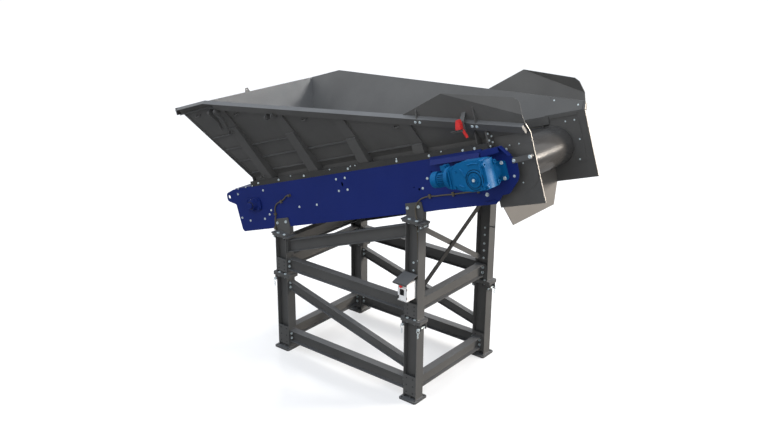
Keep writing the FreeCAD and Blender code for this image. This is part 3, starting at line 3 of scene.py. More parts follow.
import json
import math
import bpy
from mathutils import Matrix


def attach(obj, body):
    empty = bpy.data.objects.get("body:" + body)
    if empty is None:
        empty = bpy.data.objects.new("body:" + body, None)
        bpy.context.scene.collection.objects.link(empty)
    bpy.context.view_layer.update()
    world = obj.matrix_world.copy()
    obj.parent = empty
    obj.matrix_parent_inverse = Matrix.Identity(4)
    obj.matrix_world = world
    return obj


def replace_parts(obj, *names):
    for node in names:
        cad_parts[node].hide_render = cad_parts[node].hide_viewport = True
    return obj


bl_info = {
    "name": "Bulk Material Feeder",
    "version": (1, 0, 0),
    "blender": (4, 5, 0),
    "location": "View3D > Sidebar > Feeder",
    "description": "Finishes, cables, fasteners and trim of a hopper feeder, with its studio",
    "category": "Object",
}

import bpy
import numpy as np
from mathutils import Matrix, Vector
from mathutils.bvhtree import BVHTree

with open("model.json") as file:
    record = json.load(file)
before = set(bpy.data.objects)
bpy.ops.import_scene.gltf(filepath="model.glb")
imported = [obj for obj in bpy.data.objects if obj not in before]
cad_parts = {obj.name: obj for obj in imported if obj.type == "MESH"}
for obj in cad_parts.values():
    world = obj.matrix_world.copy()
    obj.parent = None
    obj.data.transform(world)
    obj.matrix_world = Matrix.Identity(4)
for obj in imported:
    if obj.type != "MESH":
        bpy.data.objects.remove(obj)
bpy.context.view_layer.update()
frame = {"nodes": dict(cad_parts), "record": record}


# Sizes and colours that a user would change

class FeederSizes(bpy.types.PropertyGroup):
    """Place of the belt, and sizes of the trim."""
    incline: bpy.props.FloatProperty(
        name="Incline", description="Slope of the belt", default=math.radians(18), unit="ROTATION")
    head_x: bpy.props.FloatProperty(
        name="Head drum X", description="Head drum axis along the feed", default=1.920, unit="LENGTH")
    head_z: bpy.props.FloatProperty(
        name="Head drum Z", description="Head drum axis above the ground", default=2.870, unit="LENGTH")
    cable: bpy.props.FloatProperty(
        name="Cable", description="Diameter of the clipped cables", default=0.016, unit="LENGTH")
    washer: bpy.props.FloatProperty(
        name="Washer", description="Washer radius over head radius", default=1.10, min=1)
    bead: bpy.props.FloatProperty(
        name="Weld", description="Leg of the weld beads", default=0.006, unit="LENGTH")


def colour(words, value):
    """A colour that a user can change, in linear values."""
    return bpy.props.FloatVectorProperty(
        name=words, description=words + ", linear", default=value, subtype="COLOR", size=3, min=0, max=1)


class FeederColours(bpy.types.PropertyGroup):
    """Base colours of the finishes."""
    stand: colour("Stand paint", (0.085, 0.085, 0.083))
    hopper: colour("Hopper paint", (0.088, 0.087, 0.084))
    chute: colour("Chute paint", (0.100, 0.094, 0.086))
    plate: colour("Blue side paint", (0.0095, 0.022, 0.150))
    drive: colour("Drive paint", (0.003, 0.112, 0.290))
    zinc: colour("Zinc plating", (0.64, 0.72, 0.74))
    drum: colour("Turned steel", (0.20, 0.19, 0.18))
    shaft: colour("Ground steel", (0.36, 0.36, 0.36))
    rubber: colour("Belt rubber", (0.054, 0.052, 0.050))
    red: colour("Red plastic", (0.66, 0.030, 0.028))
    white: colour("Box enamel", (0.93, 0.93, 0.92))
    black: colour("Black plastic", (0.022, 0.022, 0.022))
    jacket: colour("Cable jacket", (0.085, 0.072, 0.052))
    # the film's cool grey is settled dust, and also painted light from the sky on upper faces
    dust_and_top_light: colour("Settled dust", (0.22, 0.24, 0.27))
    floor: colour("Floor", (0.80, 0.80, 0.80))


# Node trees

def put(tree, kind, inputs=(), **settings):
    """One node with its settings, its values and its links."""
    node = tree.nodes.new("ShaderNode" + kind)
    for key, value in settings.items():
        setattr(node, key, value)
    for key, value in dict(inputs).items():
        if isinstance(value, bpy.types.NodeSocket):
            tree.links.new(value, node.inputs[key])
        else:
            node.inputs[key].default_value = value
    return node


def rgba(value, k=1.0):
    """A colour times k, with full alpha."""
    return (value[0] * k, value[1] * k, value[2] * k, 1.0)


def ramp(tree, value, low, high, start=0.0, end=1.0):
    """Value from low..high mapped and clamped to start..end."""
    return put(tree, "MapRange", {0: value, 1: low, 2: high, 3: start, 4: end}).outputs[0]


def noise(tree, place, scale, detail=3.0, stretch=None):
    """Fractal noise on object coordinates, stretched along an axis if asked."""
    if stretch:
        place = put(tree, "Mapping", {"Vector": place, "Scale": stretch}).outputs[0]
    values = {"Vector": place, "Scale": scale, "Detail": detail, "Roughness": 0.55}
    return put(tree, "TexNoise", values).outputs["Fac"]


def combine(tree, first, second, how="MULTIPLY"):
    """Two values as one, multiplied unless told otherwise."""
    return put(tree, "Math", {0: first, 1: second}, operation=how).outputs[0]


def blend_colour(tree, factor, low, high, mode="MIX"):
    """Colour mix of two colours or sockets."""
    return put(tree, "Mix", {0: factor, 6: low, 7: high}, data_type="RGBA", blend_type=mode).outputs[2]


def up_facing(tree, low=0.35, high=0.95):
    """How far a surface faces up, from its normal."""
    normal = put(tree, "NewGeometry").outputs["Normal"]
    return ramp(tree, put(tree, "SeparateXYZ", {0: normal}).outputs["Z"], low, high)


def start_material(name):
    """Empty material, its tree and the object coordinates in it."""
    material = bpy.data.materials.new(name)
    material.use_nodes = True
    tree = material.node_tree
    tree.nodes.clear()
    return material, tree, put(tree, "TexCoord").outputs["Object"]


def finish_material(tree, base, roughness, height=None, bump=0.2, distance=0.001, **sockets):
    """Principled shader with bump from a height."""
    shader = put(tree, "BsdfPrincipled", {"Base Color": base, "Roughness": roughness})
    for key, value in sockets.items():
        shader.inputs[key.replace("_", " ")].default_value = value
    if height is not None:
        normal = put(tree, "Bump", {"Strength": bump, "Distance": distance, "Height": height})
        tree.links.new(normal.outputs[0], shader.inputs["Normal"])
    put(tree, "OutputMaterial", {"Surface": shader.outputs[0]})


def paint(name, base, roughness=0.42, dust_and_top_light=0.25, shine=0.4, cloud=0.10, peel=0.25, rub=0.25):
    """Sprayed paint: orange peel, slow cloudiness, rubbed patches, and a cool grey film on upper faces that is
    settled dust and painted light from the sky.
    """
    material, tree, place = start_material(name)
    slow = noise(tree, place, 1.7, 4)
    fine = noise(tree, place, 38, 3)
    worn = noise(tree, place, 6.5, 6)
    tone = blend_colour(tree, ramp(tree, slow, 0.35, 0.65), rgba(base, 1 - cloud), rgba(base, 1 + cloud))
    bare = rgba([0.5 * b + 0.06 for b in base])
    tone = blend_colour(tree, ramp(tree, worn, 0.56, 0.72, 0, rub), tone, bare)
    # upper faces get a cool grey film: settled dust, and painted light from the sky above
    dust_and_top_light_share = combine(tree, up_facing(tree), ramp(tree, fine, 0.3, 0.75, 0.55 * dust_and_top_light, dust_and_top_light))
    tone = blend_colour(tree, dust_and_top_light_share, tone, rgba(settings().dust_and_top_light))
    rough = ramp(tree, worn, 0.3, 0.7, roughness - 0.06, roughness + 0.08)
    rough = combine(tree, rough, combine(tree, dust_and_top_light_share, 0.5), "ADD")
    skin = noise(tree, place, 420, 2)
    finish_material(tree, tone, rough, skin, peel, 0.0006, Specular_IOR_Level=shine)
    return material


def bare_steel(name, base, roughness, stretch, scale, metallic=0.85, bloom=0.2, tint=(0.16, 0.10, 0.06)):
    """Machined or plated steel: fine lines across one axis, cloudy oxide and slight stains."""
    material, tree, place = start_material(name)
    lines = noise(tree, place, scale, 4, stretch)
    cloud = noise(tree, place, 5.0, 5)
    tone = blend_colour(tree, ramp(tree, lines, 0.3, 0.7), rgba(base, 0.85), rgba(base, 1.12))
    tone = blend_colour(tree, ramp(tree, cloud, 0.52, 0.75, 0, bloom), tone, rgba(tint))
    rough = ramp(tree, cloud, 0.3, 0.75, roughness - 0.05, roughness + 0.12)
    finish_material(tree, tone, rough, lines, 0.15, 0.0005, Metallic=metallic)
    return material


def rubber(name, base):
    """Smooth belt cover polished by use: the faint print of its fabric, and slight scuffs."""
    material, tree, place = start_material(name)
    bands = {"Vector": place, "Scale": 180.0, "Distortion": 1.5}
    weave = combine(tree, *[put(tree, "TexWave", bands, bands_direction=way).outputs["Fac"] for way in "XY"])
    scuff = noise(tree, place, 2.4, 4)
    tone = blend_colour(tree, ramp(tree, scuff, 0.4, 0.7), rgba(base, 0.94), rgba(base, 1.06))
    rough = ramp(tree, scuff, 0.3, 0.7, 0.155, 0.18)
    finish_material(tree, tone, rough, weave, 0.02, 0.0003, Specular_IOR_Level=0.5)
    return material


def plastic(name, base, roughness=0.35, grain=700.0, fade=0.12):
    """Moulded plastic: spark-eroded grain, slightly faded patches."""
    material, tree, place = start_material(name)
    patch = noise(tree, place, 14, 4)
    skin = noise(tree, place, grain, 2)
    pale = rgba([min(1, b * (1 + fade)) for b in base])
    tone = blend_colour(tree, ramp(tree, patch, 0.4, 0.7), rgba(base, 1 - fade), pale)
    rough = ramp(tree, patch, 0.3, 0.7, roughness - 0.05, roughness + 0.08)
    finish_material(tree, tone, rough, skin, 0.2, 0.0004)
    return material


def jacket(name, base):
    """Cable jacket: matt extruded rubber with drag marks and dust."""
    material, tree, place = start_material(name)
    drag = noise(tree, place, 30, 3, (1, 1, 9))
    tone = blend_colour(tree, ramp(tree, drag, 0.35, 0.7), rgba(base, 0.8), rgba(base, 1.25))
    finish_material(tree, tone, 0.62, drag, 0.3, 0.0005)
    return material


def settings():
    """The colours as they are set."""
    return bpy.context.scene.feeder_colours


def sizes():
    """The sizes as they are set."""
    return bpy.context.scene.feeder_sizes


FINISHES = {}


def finishes():
    """Each finish of the object, made once."""
    if FINISHES:
        return FINISHES
    c = settings()
    FINISHES.update({
        "stand_paint": paint("stand paint", c.stand, 0.46, 0.22),
        "hopper_paint": paint("hopper paint", c.hopper, 0.44, 0.24),
        # the rail under the wall's overhang: the hopper colour halved, painted shade
        "rail_painted_shade": paint("shaded paint", [0.5 * k for k in c.hopper], 0.5, 0.15, shine=0.25),
        # a darker stand colour for the rising braces, painted shade
        "brace_shade": paint("brace painted shade", [0.3 * k for k in c.stand], 0.5, 0.1, shine=0.15),
        # a dark drive colour for the rings of painted shade round the shaft
        "drive_seam": paint("drive painted shade", [0.25 * k for k in c.drive], 0.5, 0.03, shine=0.15, rub=0.0),
        "skirt_rubber": plastic("skirt rubber", c.hopper, 0.55, 300),
        # pale brown strips on the discharge plates' front edges: painted highlight of the warm side light
        "plate_edge": bare_steel("painted edge highlight", (0.34, 0.31, 0.27), 0.4, (3, 3, 3), 20, 0.1, 0.1,
                                 (0.4, 0.36, 0.3)),
        "liner_steel": paint("liner paint", c.hopper, 0.48, 0.20),
        "chute_steel": paint("chute paint", c.chute, 0.5, 0.15, rub=0.4),
        "blue_paint": paint("blue side paint", c.plate, 0.42, 0.02, shine=0.18, cloud=0.05, rub=0.0),
        "drive_paint": paint("drive paint", c.drive, 0.46, 0.03, shine=0.12, cloud=0.06, rub=0.0),
        "zinc": bare_steel("zinc plating", c.zinc, 0.36, (3, 3, 3), 30, 0.3, 0.15,
                           (0.42, 0.44, 0.36)),
        "drum_steel": bare_steel("turned drum steel", c.drum, 0.34, (1, 90, 1), 4, 0.85, 0.35),
        "shaft_steel": bare_steel("ground shaft steel", c.shaft, 0.28, (1, 60, 1), 9),
        "roller_steel": bare_steel("roller steel", c.drum, 0.4, (1, 70, 1), 6, 0.6, 0.4),
        "bearing_iron": paint("bearing paint", c.drive, 0.42, 0.04, shine=0.3, peel=0.5, rub=0.0),
        "belt_rubber": rubber("belt rubber", c.rubber),
        "red_plastic": plastic("red plastic", c.red),
        "white_plastic": plastic("box enamel", c.white, 0.4, 500, 0.03),
        "black_plastic": plastic("black plastic", c.black, 0.4),
        "cable_jacket": jacket("cable jacket", c.jacket),
    })
    return FINISHES


def dress(obj, finish):
    """Put one finish on an object."""
    obj.data.materials.clear()
    obj.data.materials.append(finishes()[finish])


def make_piece(name, points, faces, finish, smooth=True):
    """Mesh object from arrays of points and faces, with its finish, riding on the frame's body."""
    mesh = bpy.data.meshes.new(name)
    mesh.from_pydata(points.reshape(-1, 3), [], faces)
    mesh.validate()
    mesh.update()
    if smooth:
        mesh.shade_smooth()
        mesh.set_sharp_from_angle(angle=math.radians(35))
    obj = bpy.data.objects.new(name, mesh)
    bpy.context.scene.collection.objects.link(obj)
    dress(obj, finish)
    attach(obj, "frame")
    return obj


def grid_faces(rows, columns, wrap=False):
    """Quads between neighbouring points of a grid, wrapped along its columns if asked."""
    i = np.arange(rows - 1)[:, None]
    j = np.arange(columns if wrap else columns - 1)[None, :]
    k = (j + 1) % columns
    quads = np.stack([i * columns + j, i * columns + k, (i + 1) * columns + k, (i + 1) * columns + j], -1)
    return quads.reshape(-1, 4).tolist()


def revolve(profile, sides=32, start=(0, 0, 0), axis=(0, 0, 1)):
    """Turned form: each profile point (radius, height) swept round an axis through start.

    point = start + height axis + radius (cos t side + sin t other). Closed where a radius is zero.
    """
    profile = np.array(profile, float)
    axis = np.array(axis, float) / np.linalg.norm(axis)
    side = np.cross(axis, (0, 0, 1) if abs(axis[2]) < 0.9 else (1, 0, 0))
    side /= np.linalg.norm(side)
    other = np.cross(axis, side)
    turn = np.linspace(0, 2 * math.pi, sides, endpoint=False)
    ring = np.cos(turn)[:, None] * side + np.sin(turn)[:, None] * other
    radius, height = (profile[:, k][:, None, None] for k in (0, 1))
    points = np.array(start, float) + height * axis + radius * ring[None]
    return points.reshape(-1, 3), grid_faces(len(profile), sides, True)


def merged(parts):
    """Several (points, faces) as one."""
    points, faces, count = [], [], 0
    for p, f in parts:
        points.append(np.asarray(p, float).reshape(-1, 3))
        faces += [[k + count for k in face] for face in f]
        count += len(points[-1])
    return np.concatenate(points), faces


def block(centre, half, rows=None):
    """Box from centre - half to centre + half, along the directions in rows if any are given."""
    corners = np.array([(x, y, z) for x in (-1, 1) for y in (-1, 1) for z in (-1, 1)], float) * np.array(half)
    if rows is not None:
        corners = corners @ np.array(rows, float)
    faces = [[0, 1, 3, 2], [4, 6, 7, 5], [0, 4, 5, 1], [2, 3, 7, 6], [0, 2, 6, 4], [1, 5, 7, 3]]
    return corners + np.array(centre, float), faces


# Places on the object, in metres. In the belt's frame u runs along the belt, y across it and w
# square to it, from the head drum's axis.
PLATE_Y = 0.665
BRACKET_Y = 0.677
TAIL_U = -3.620
WALL_FOOT_Y = 0.554
WALL_FOOT_W = 0.325
WALL_LEAN = math.radians(30.75)
WALL_SHEET = 0.008
RIM_TAIL_W = 1.360
RIM_KNEE_U = -3.398
RIM_FALL = 0.25
RIB_U = -3.260
RIB_PITCH = 0.783
RIB_COUNT = 4
STIFFENER_W = (0.400, 0.573, 0.746, 0.919)
DISCHARGE_U = 0.411
DISCHARGE_Y = 0.555
DISCHARGE_LOW_W = -0.388
GEARBOX_Y = -1.030
MOTOR_Y = -0.922
MOTOR_W = 0.035
COLUMN_X = 0.985
COLUMN_Y = 0.695
COLUMN_FACE_Y = 0.760
BOX_Y = -0.925


def on_belt(points):
    """Belt frame (u, y, w) to the object's frame: a turn by the incline about the head drum's axis."""
    s = sizes()
    u, y, w = np.asarray(points, float).reshape(-1, 3).T
    sine, cosine = math.sin(s.incline), math.cos(s.incline)
    return np.stack([s.head_x + u * cosine - w * sine, y, s.head_z + u * sine + w * cosine], -1)


def belt_point(u, y, w):
    """One point of the belt frame in the object's frame."""
    return on_belt([(u, y, w)])[0]


def belt_rows():
    """The belt frame's own axes as rows: ahead, across and up."""
    t = sizes().incline
    return np.array([(math.cos(t), 0, math.sin(t)), (0, 1, 0), (-math.sin(t), 0, math.cos(t))])


# Finishes of the solids

class FEEDER_OT_finishes(bpy.types.Operator):
    """Give each solid its finish"""
    bl_idname = "feeder.finishes"
    bl_label = "Finishes"

    def execute(self, context):
        for part in frame["record"]["subparts"]:
            dress(frame["nodes"][part["node"]], part["material_slot"])
        dress(frame["nodes"]["head_bearings"], "drive_paint")
        dress(frame["nodes"]["tail_bearings"], "blue_paint")
        # the rail gets the darker finish, painted shade under the wall's overhang
        dress(frame["nodes"]["base_rails"], "rail_painted_shade")
        dress(frame["nodes"]["skirt_rubbers"], "skirt_rubber")
        return {"FINISHED"}


# Cables

def route(points, wide, name, node):
    """Round cable on a quadratic NURBS line, standing for its solid."""
    curve = bpy.data.curves.new(name, "CURVE")
    curve.dimensions = "3D"
    curve.bevel_depth = wide / 2
    curve.bevel_resolution = 4
    curve.resolution_u = 8
    spline = curve.splines.new("NURBS")
    spline.points.add(len(points) - 1)
    flat = np.concatenate([np.asarray(points, float), np.ones((len(points), 1))], 1)
    spline.points.foreach_set("co", flat.ravel())
    spline.order_u = 3
    spline.use_endpoint_u = True
    obj = bpy.data.objects.new(name, curve)
    bpy.context.scene.collection.objects.link(obj)
    obj.data.materials.append(finishes()["cable_jacket"])
    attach(obj, "frame")
    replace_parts(obj, node)
    return obj


class FEEDER_OT_cables(bpy.types.Operator):
    """Clipped cables of the drive and the tail"""
    bl_idname = "feeder.cables"
    bl_label = "Cables"

    def execute(self, context):
        wide = sizes().cable
        lay = -PLATE_Y - wide / 2
        on_plate = [
            (-0.205, lay, -0.168), (-0.300, lay, -0.173), (-0.430, lay, -0.171), (-0.566, lay, -0.174),
            (-0.700, lay, -0.170), (-0.800, lay, -0.171), (-0.885, lay, -0.163),
            (-0.945, lay - 0.001, -0.170)]
        down_column = [
            (1.024, -0.682, 2.386), (0.988, -0.687, 2.338), (0.970, -0.688, 2.286),
            (0.969, -0.690, 2.246), (0.980, -0.698, 2.212), (0.996, -0.707, 2.186),
            (1.007, -0.713, 2.162), (1.011, -0.714, 2.122), (1.020, -0.713, 2.040),
            (1.028, -0.714, 1.940), (1.034, -0.713, 1.830), (1.034, -0.714, 1.710),
            (1.031, -0.713, 1.600), (1.027, -0.714, 1.525), (1.025, -0.721, 1.476),
            (1.025, -0.739, 1.447), (1.025, -COLUMN_FACE_Y, 1.447)]
        drive = np.concatenate([on_belt(on_plate), down_column])
        on_plate = [
            (-2.962, lay - 0.008, 0.052), (-3.004, lay - 0.008, 0.052), (-3.056, lay - 0.002, 0.018),
            (-3.112, lay, -0.006), (-3.176, lay, -0.017), (-3.230, lay, -0.042), (-3.264, lay, -0.088),
            (-3.274, lay, -0.142), (-3.280, lay, -0.186)]
        front = -BRACKET_Y - wide / 2 - 0.002
        down_bracket = [(-1.144, front, 1.664), (-1.140, front, 1.618), (-1.140, front, 1.5615)]
        tail = np.concatenate([on_belt(on_plate), down_bracket])
        for name, node, points in (("drive_lead", "drive_cable", drive), ("tail_lead", "tail_cable", tail)):
            obj = route(points, wide, name, node)
        return {"FINISHED"}


# Fasteners

def triangles(mesh):
    """Points and triangles of a mesh as arrays."""
    mesh.calc_loop_triangles()
    points = np.empty(len(mesh.vertices) * 3, np.float32)
    mesh.vertices.foreach_get("co", points)
    corners = np.empty(len(mesh.loop_triangles) * 3, np.int32)
    mesh.loop_triangles.foreach_get("vertices", corners)
    return points.reshape(-1, 3), corners.reshape(-1, 3)


def islands(node):
    """Separate solids of a node as (points, triangles).

    Every point takes the lowest number among the points of its triangles, until nothing changes.
    """
    points, tri = triangles(frame["nodes"][node].data)
    points, back = np.unique(np.round(points, 6), axis=0, return_inverse=True)
    tri = back.reshape(-1)[tri]
    label = np.arange(len(points))
    while True:
        low = label[tri].min(1)
        fresh = label.copy()
        for k in range(3):
            np.minimum.at(fresh, tri[:, k], low)
        fresh = fresh[fresh]
        if (fresh == label).all():
            break
        label = fresh
    found = []
    for mark in np.unique(label):
        mine = np.flatnonzero(label == mark)
        number = np.full(len(points), -1)
        number[mine] = np.arange(len(mine))
        found.append((points[mine].astype(float), number[tri[label[tri[:, 0]] == mark]]))
    return found


def other_solids(skip):
    """Ray tree of every solid but those named, to find what a bolt sits on."""
    points, faces, count = [], [], 0
    for name, obj in frame["nodes"].items():
        if name in skip:
            continue
        own, tri = triangles(obj.data)
        points.append(own)
        faces.append(tri + count)
        count += len(own)
    return BVHTree.FromPolygons(np.concatenate(points).tolist(), np.concatenate(faces).tolist())


# Points of a plain hexagonal head, a small head's share of a full one's radius, and the length
# from which a bent piece among the bolts is a strap and not a clip, in metres
PRISM_POINTS = 12
SMALL_HEAD = 0.55
STRAP_SPAN = 0.2


def hex_places(found, tree):
    """Seat, outward direction, head radius, height and first corner of each hexagonal prism."""
    places = []
    for points, _ in found:
        if len(points) != PRISM_POINTS:
            continue
        middle = points.mean(0)
        spread, rows = np.linalg.eigh(np.cov((points - middle).T))
        # two of the three spreads are alike, and the axis is the third
        axis = rows[:, 2] if abs(spread[1] - spread[0]) < abs(spread[2] - spread[1]) else rows[:, 0]
        height = float(np.ptp((points - middle) @ axis))
        radial = (points - middle) - np.outer((points - middle) @ axis, axis)
        radius = float(np.linalg.norm(radial, axis=1).max())
        reach = []
        for sign in (1, -1):
            hit = tree.ray_cast(Vector(middle), Vector(axis * sign), height / 2 + 0.004)
            reach.append(hit[3] if hit[0] is not None else 9.0)
        out = axis if reach[1] <= reach[0] else -axis
        # heads on the object's two sides look away from its middle
        if abs(axis[1]) > 0.9 and abs(middle[1]) > 0.6:
            out = axis * np.sign(axis[1] * middle[1])
        # the rail's upper row and the discharge plates have smaller heads
        u, _, w = belt_rows() @ (middle - belt_point(0, 0, 0))
        rail = w > 0.27 and abs(middle[1]) < 0.67 and u < -0.5
        discharge = 0.12 < u < 0.4 and abs(middle[1]) < 0.57
        if out[1] * middle[1] > 0 and (rail or discharge):
            radius *= SMALL_HEAD
        turn = radial[0] / np.linalg.norm(radial[0])
        places.append((middle - out * height / 2, out, radius, height, turn))
    return places


def bolt_heads(places, stub=0.0):
    """Hexagon heads on washers, with a chamfer, and with a stub of thread if asked.

    Each head is a stack of rings of 12 points. A round ring has one radius, and a hexagonal one
    has the radius cos 30 / cos(angle from the middle of the flat).
    """
    seat, out, radius, height, turn = (np.array(k, float) for k in zip(*places))
    other = np.cross(out, turn)
    angle = np.arange(12) * math.pi / 6
    hexagon = np.cos(math.pi / 6) / np.cos(np.mod(angle, math.pi / 3) - math.pi / 6)
    washer = sizes().washer
    # rings as (share of head radius, share of height, 1 where the ring is hexagonal)
    rings = [(washer, 0.0, 0), (washer, 0.16, 0), (washer * 0.97, 0.20, 0), (0.98, 0.20, 1),
             (0.98, 0.82, 1), (0.86, 1.0, 0), (0.46, 1.0, 0)]
    if stub:
        rings += [(0.46, 1.0 + stub, 0), (0.40, 1.06 + stub, 0), (0.0, 1.06 + stub, 0)]
    else:
        rings += [(0.40, 0.96, 0), (0.0, 0.96, 0)]
    share, rise, flat = (np.array(k)[:, None] for k in zip(*rings))
    shape = np.where(flat > 0, hexagon * share, share)
    around = np.cos(angle)[None, :, None] * turn[:, None] + np.sin(angle)[None, :, None] * other[:, None]
    lift = (rise[None] * height[:, None, None])[..., None] * out[:, None, None]
    reach = (shape[None] * radius[:, None, None])[..., None] * around[:, None]
    points = seat[:, None, None] + lift + reach
    one = np.array(grid_faces(len(rings), 12, True))
    first = np.arange(len(places)) * len(rings) * 12
    return points.reshape(-1, 3), (one[None] + first[:, None, None]).reshape(-1, 4).tolist()


def tucked(points, back=0.095):
    """Points with the front end of the far nose strap drawn back behind its plate."""
    ahead = belt_rows()[0]
    u = (points - belt_point(0, 0, 0)) @ ahead
    far = (points[:, 1] > 0.6) & (u > 0.33)
    return points - np.where(far, back, 0.0)[:, None] * ahead


class FEEDER_OT_fasteners(bpy.types.Operator):
    """Hexagon heads with washers in place of the plain ones"""
    bl_idname = "feeder.fasteners"
    bl_label = "Fasteners"

    def execute(self, context):
        tree = other_solids(("stand_bolts", "hopper_bolts", "drive_cable", "tail_cable"))
        for node, name in (("stand_bolts", "stand_fasteners"), ("hopper_bolts", "hopper_fasteners")):
            found = [(tucked(p), f) for p, f in islands(node)]
            places = hex_places(found, tree)
            # heads that look down are nuts, with a stub of thread
            heads = bolt_heads([p for p in places if p[1][2] > -0.5])
            under = [p for p in places if p[1][2] <= -0.5]
            if under:
                heads = merged([heads, bolt_heads(under, stub=0.5)])
            obj = make_piece(name, *heads, "zinc")
            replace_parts(obj, node)
            others = [(p, t.tolist()) for p, t in found if len(p) != PRISM_POINTS]
            if node == "stand_bolts":
                pins = make_piece("joint_pins", *joint_pins([p for p, _ in others]), "zinc")
                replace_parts(pins, node)
                continue
            straps = [one for one in others if np.ptp(one[0], 0).max() > STRAP_SPAN]
            clips = [one for one in others if np.ptp(one[0], 0).max() <= STRAP_SPAN]
            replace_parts(make_piece("nose_straps", *merged(straps), "hopper_paint", smooth=False), node)
            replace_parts(make_piece("cable_clips", *merged(clips), "cable_jacket"), node)
        heads = [(seat, out, radius * 1.04, height * 1.15, turn)
                 for seat, out, radius, height, turn in hex_places(islands("head_bearings"), tree)]
        make_piece("bearing_fasteners", *bolt_heads(heads), "zinc")
        return {"FINISHED"}


def torus(centre, radius, wire, side, other, sides=20, around=8):
    """Ring of round wire: centre + (radius + wire cos b) (cos a side + sin a other) + wire sin b normal."""
    side, other = np.array(side, float), np.array(other, float)
    normal = np.cross(side, other)
    turn = np.linspace(0, 2 * math.pi, sides, endpoint=False)
    out = np.cos(turn)[:, None] * side + np.sin(turn)[:, None] * other
    small = np.linspace(0, 2 * math.pi, around, endpoint=False)
    points = (np.array(centre, float) + (radius + wire * np.cos(small))[None, :, None] * out[:, None]
              + (wire * np.sin(small))[None, :, None] * normal)
    i = np.arange(sides)[:, None]
    j = np.arange(around)[None, :]
    k, m = (i + 1) % sides, (j + 1) % around
    quads = np.stack([i * around + j, k * around + j, k * around + m, i * around + m], -1).reshape(-1, 4)
    return points.reshape(-1, 3), quads.tolist()


def joint_pins(found):
    """Locating pins. Those of the lower joint have a collar outside, with a ring and four links."""
    parts = []
    for points in found:
        low, high = points.min(0), points.max(0)
        middle = (low + high) / 2
        radius = (high[0] - low[0]) / 2
        length = high[1] - low[1]
        outer = -1 if middle[1] < 0 else 1
        tip = radius * 0.2
        shank = [(0, 0), (radius - tip, 0), (radius, tip), (radius, length - tip), (radius - tip, length),
                 (0, length)]
        parts.append(revolve(shank, 20, (middle[0], low[1], middle[2]), (0, 1, 0)))
        if middle[2] > 1.4:
            continue
        head = (middle[0], high[1] if outer > 0 else low[1], middle[2])
        collar = [(0, -0.001), (radius * 1.55, -0.001), (radius * 1.6, 0.001), (radius * 1.6, 0.006),
                  (radius * 1.45, 0.008), (0, 0.008)]
        parts.append(revolve(collar, 24, head, (0, outer, 0)))
        ring = (middle[0], head[1] + outer * 0.006, middle[2] - 0.022)
        parts.append(torus(ring, 0.020, 0.0028, (1, 0, 0), (0, 0, 1)))
        for k in range(4):
            link = (middle[0], ring[1], middle[2] - 0.052 - k * 0.014)
            flip = (0, 1, 0) if k % 2 else (1, 0, 0)
            parts.append(torus(link, 0.0085, 0.0022, flip, (0, 0, 1), 12, 6))
    return merged(parts)


# Trim of the walls, the rim and the columns

def wall_frame(u, v, d, side):
    """Place and outward direction on a side wall: v up it from its foot, d out from its inner face."""
    sine, cosine = math.sin(WALL_LEAN), math.cos(WALL_LEAN)
    y = WALL_FOOT_Y + v * sine + d * cosine
    w = WALL_FOOT_W + v * cosine - d * sine
    place = belt_point(u, y * side, w)
    return place, belt_point(u, (y + cosine) * side, w - sine) - place


def rim_reach(u):
    """Length up the side wall from its foot to the rim, which falls from its knee on."""
    rim = RIM_TAIL_W - max(0.0, u - RIM_KNEE_U) * RIM_FALL
    return (rim - WALL_FOOT_W) / math.cos(WALL_LEAN)


def head_turn(out):
    """A direction square to out, for the first corner of a bolt head."""
    side = np.cross(out, (0, 0, 1) if abs(out[2]) < 0.9 else (1, 0, 0))
    return side / np.linalg.norm(side)


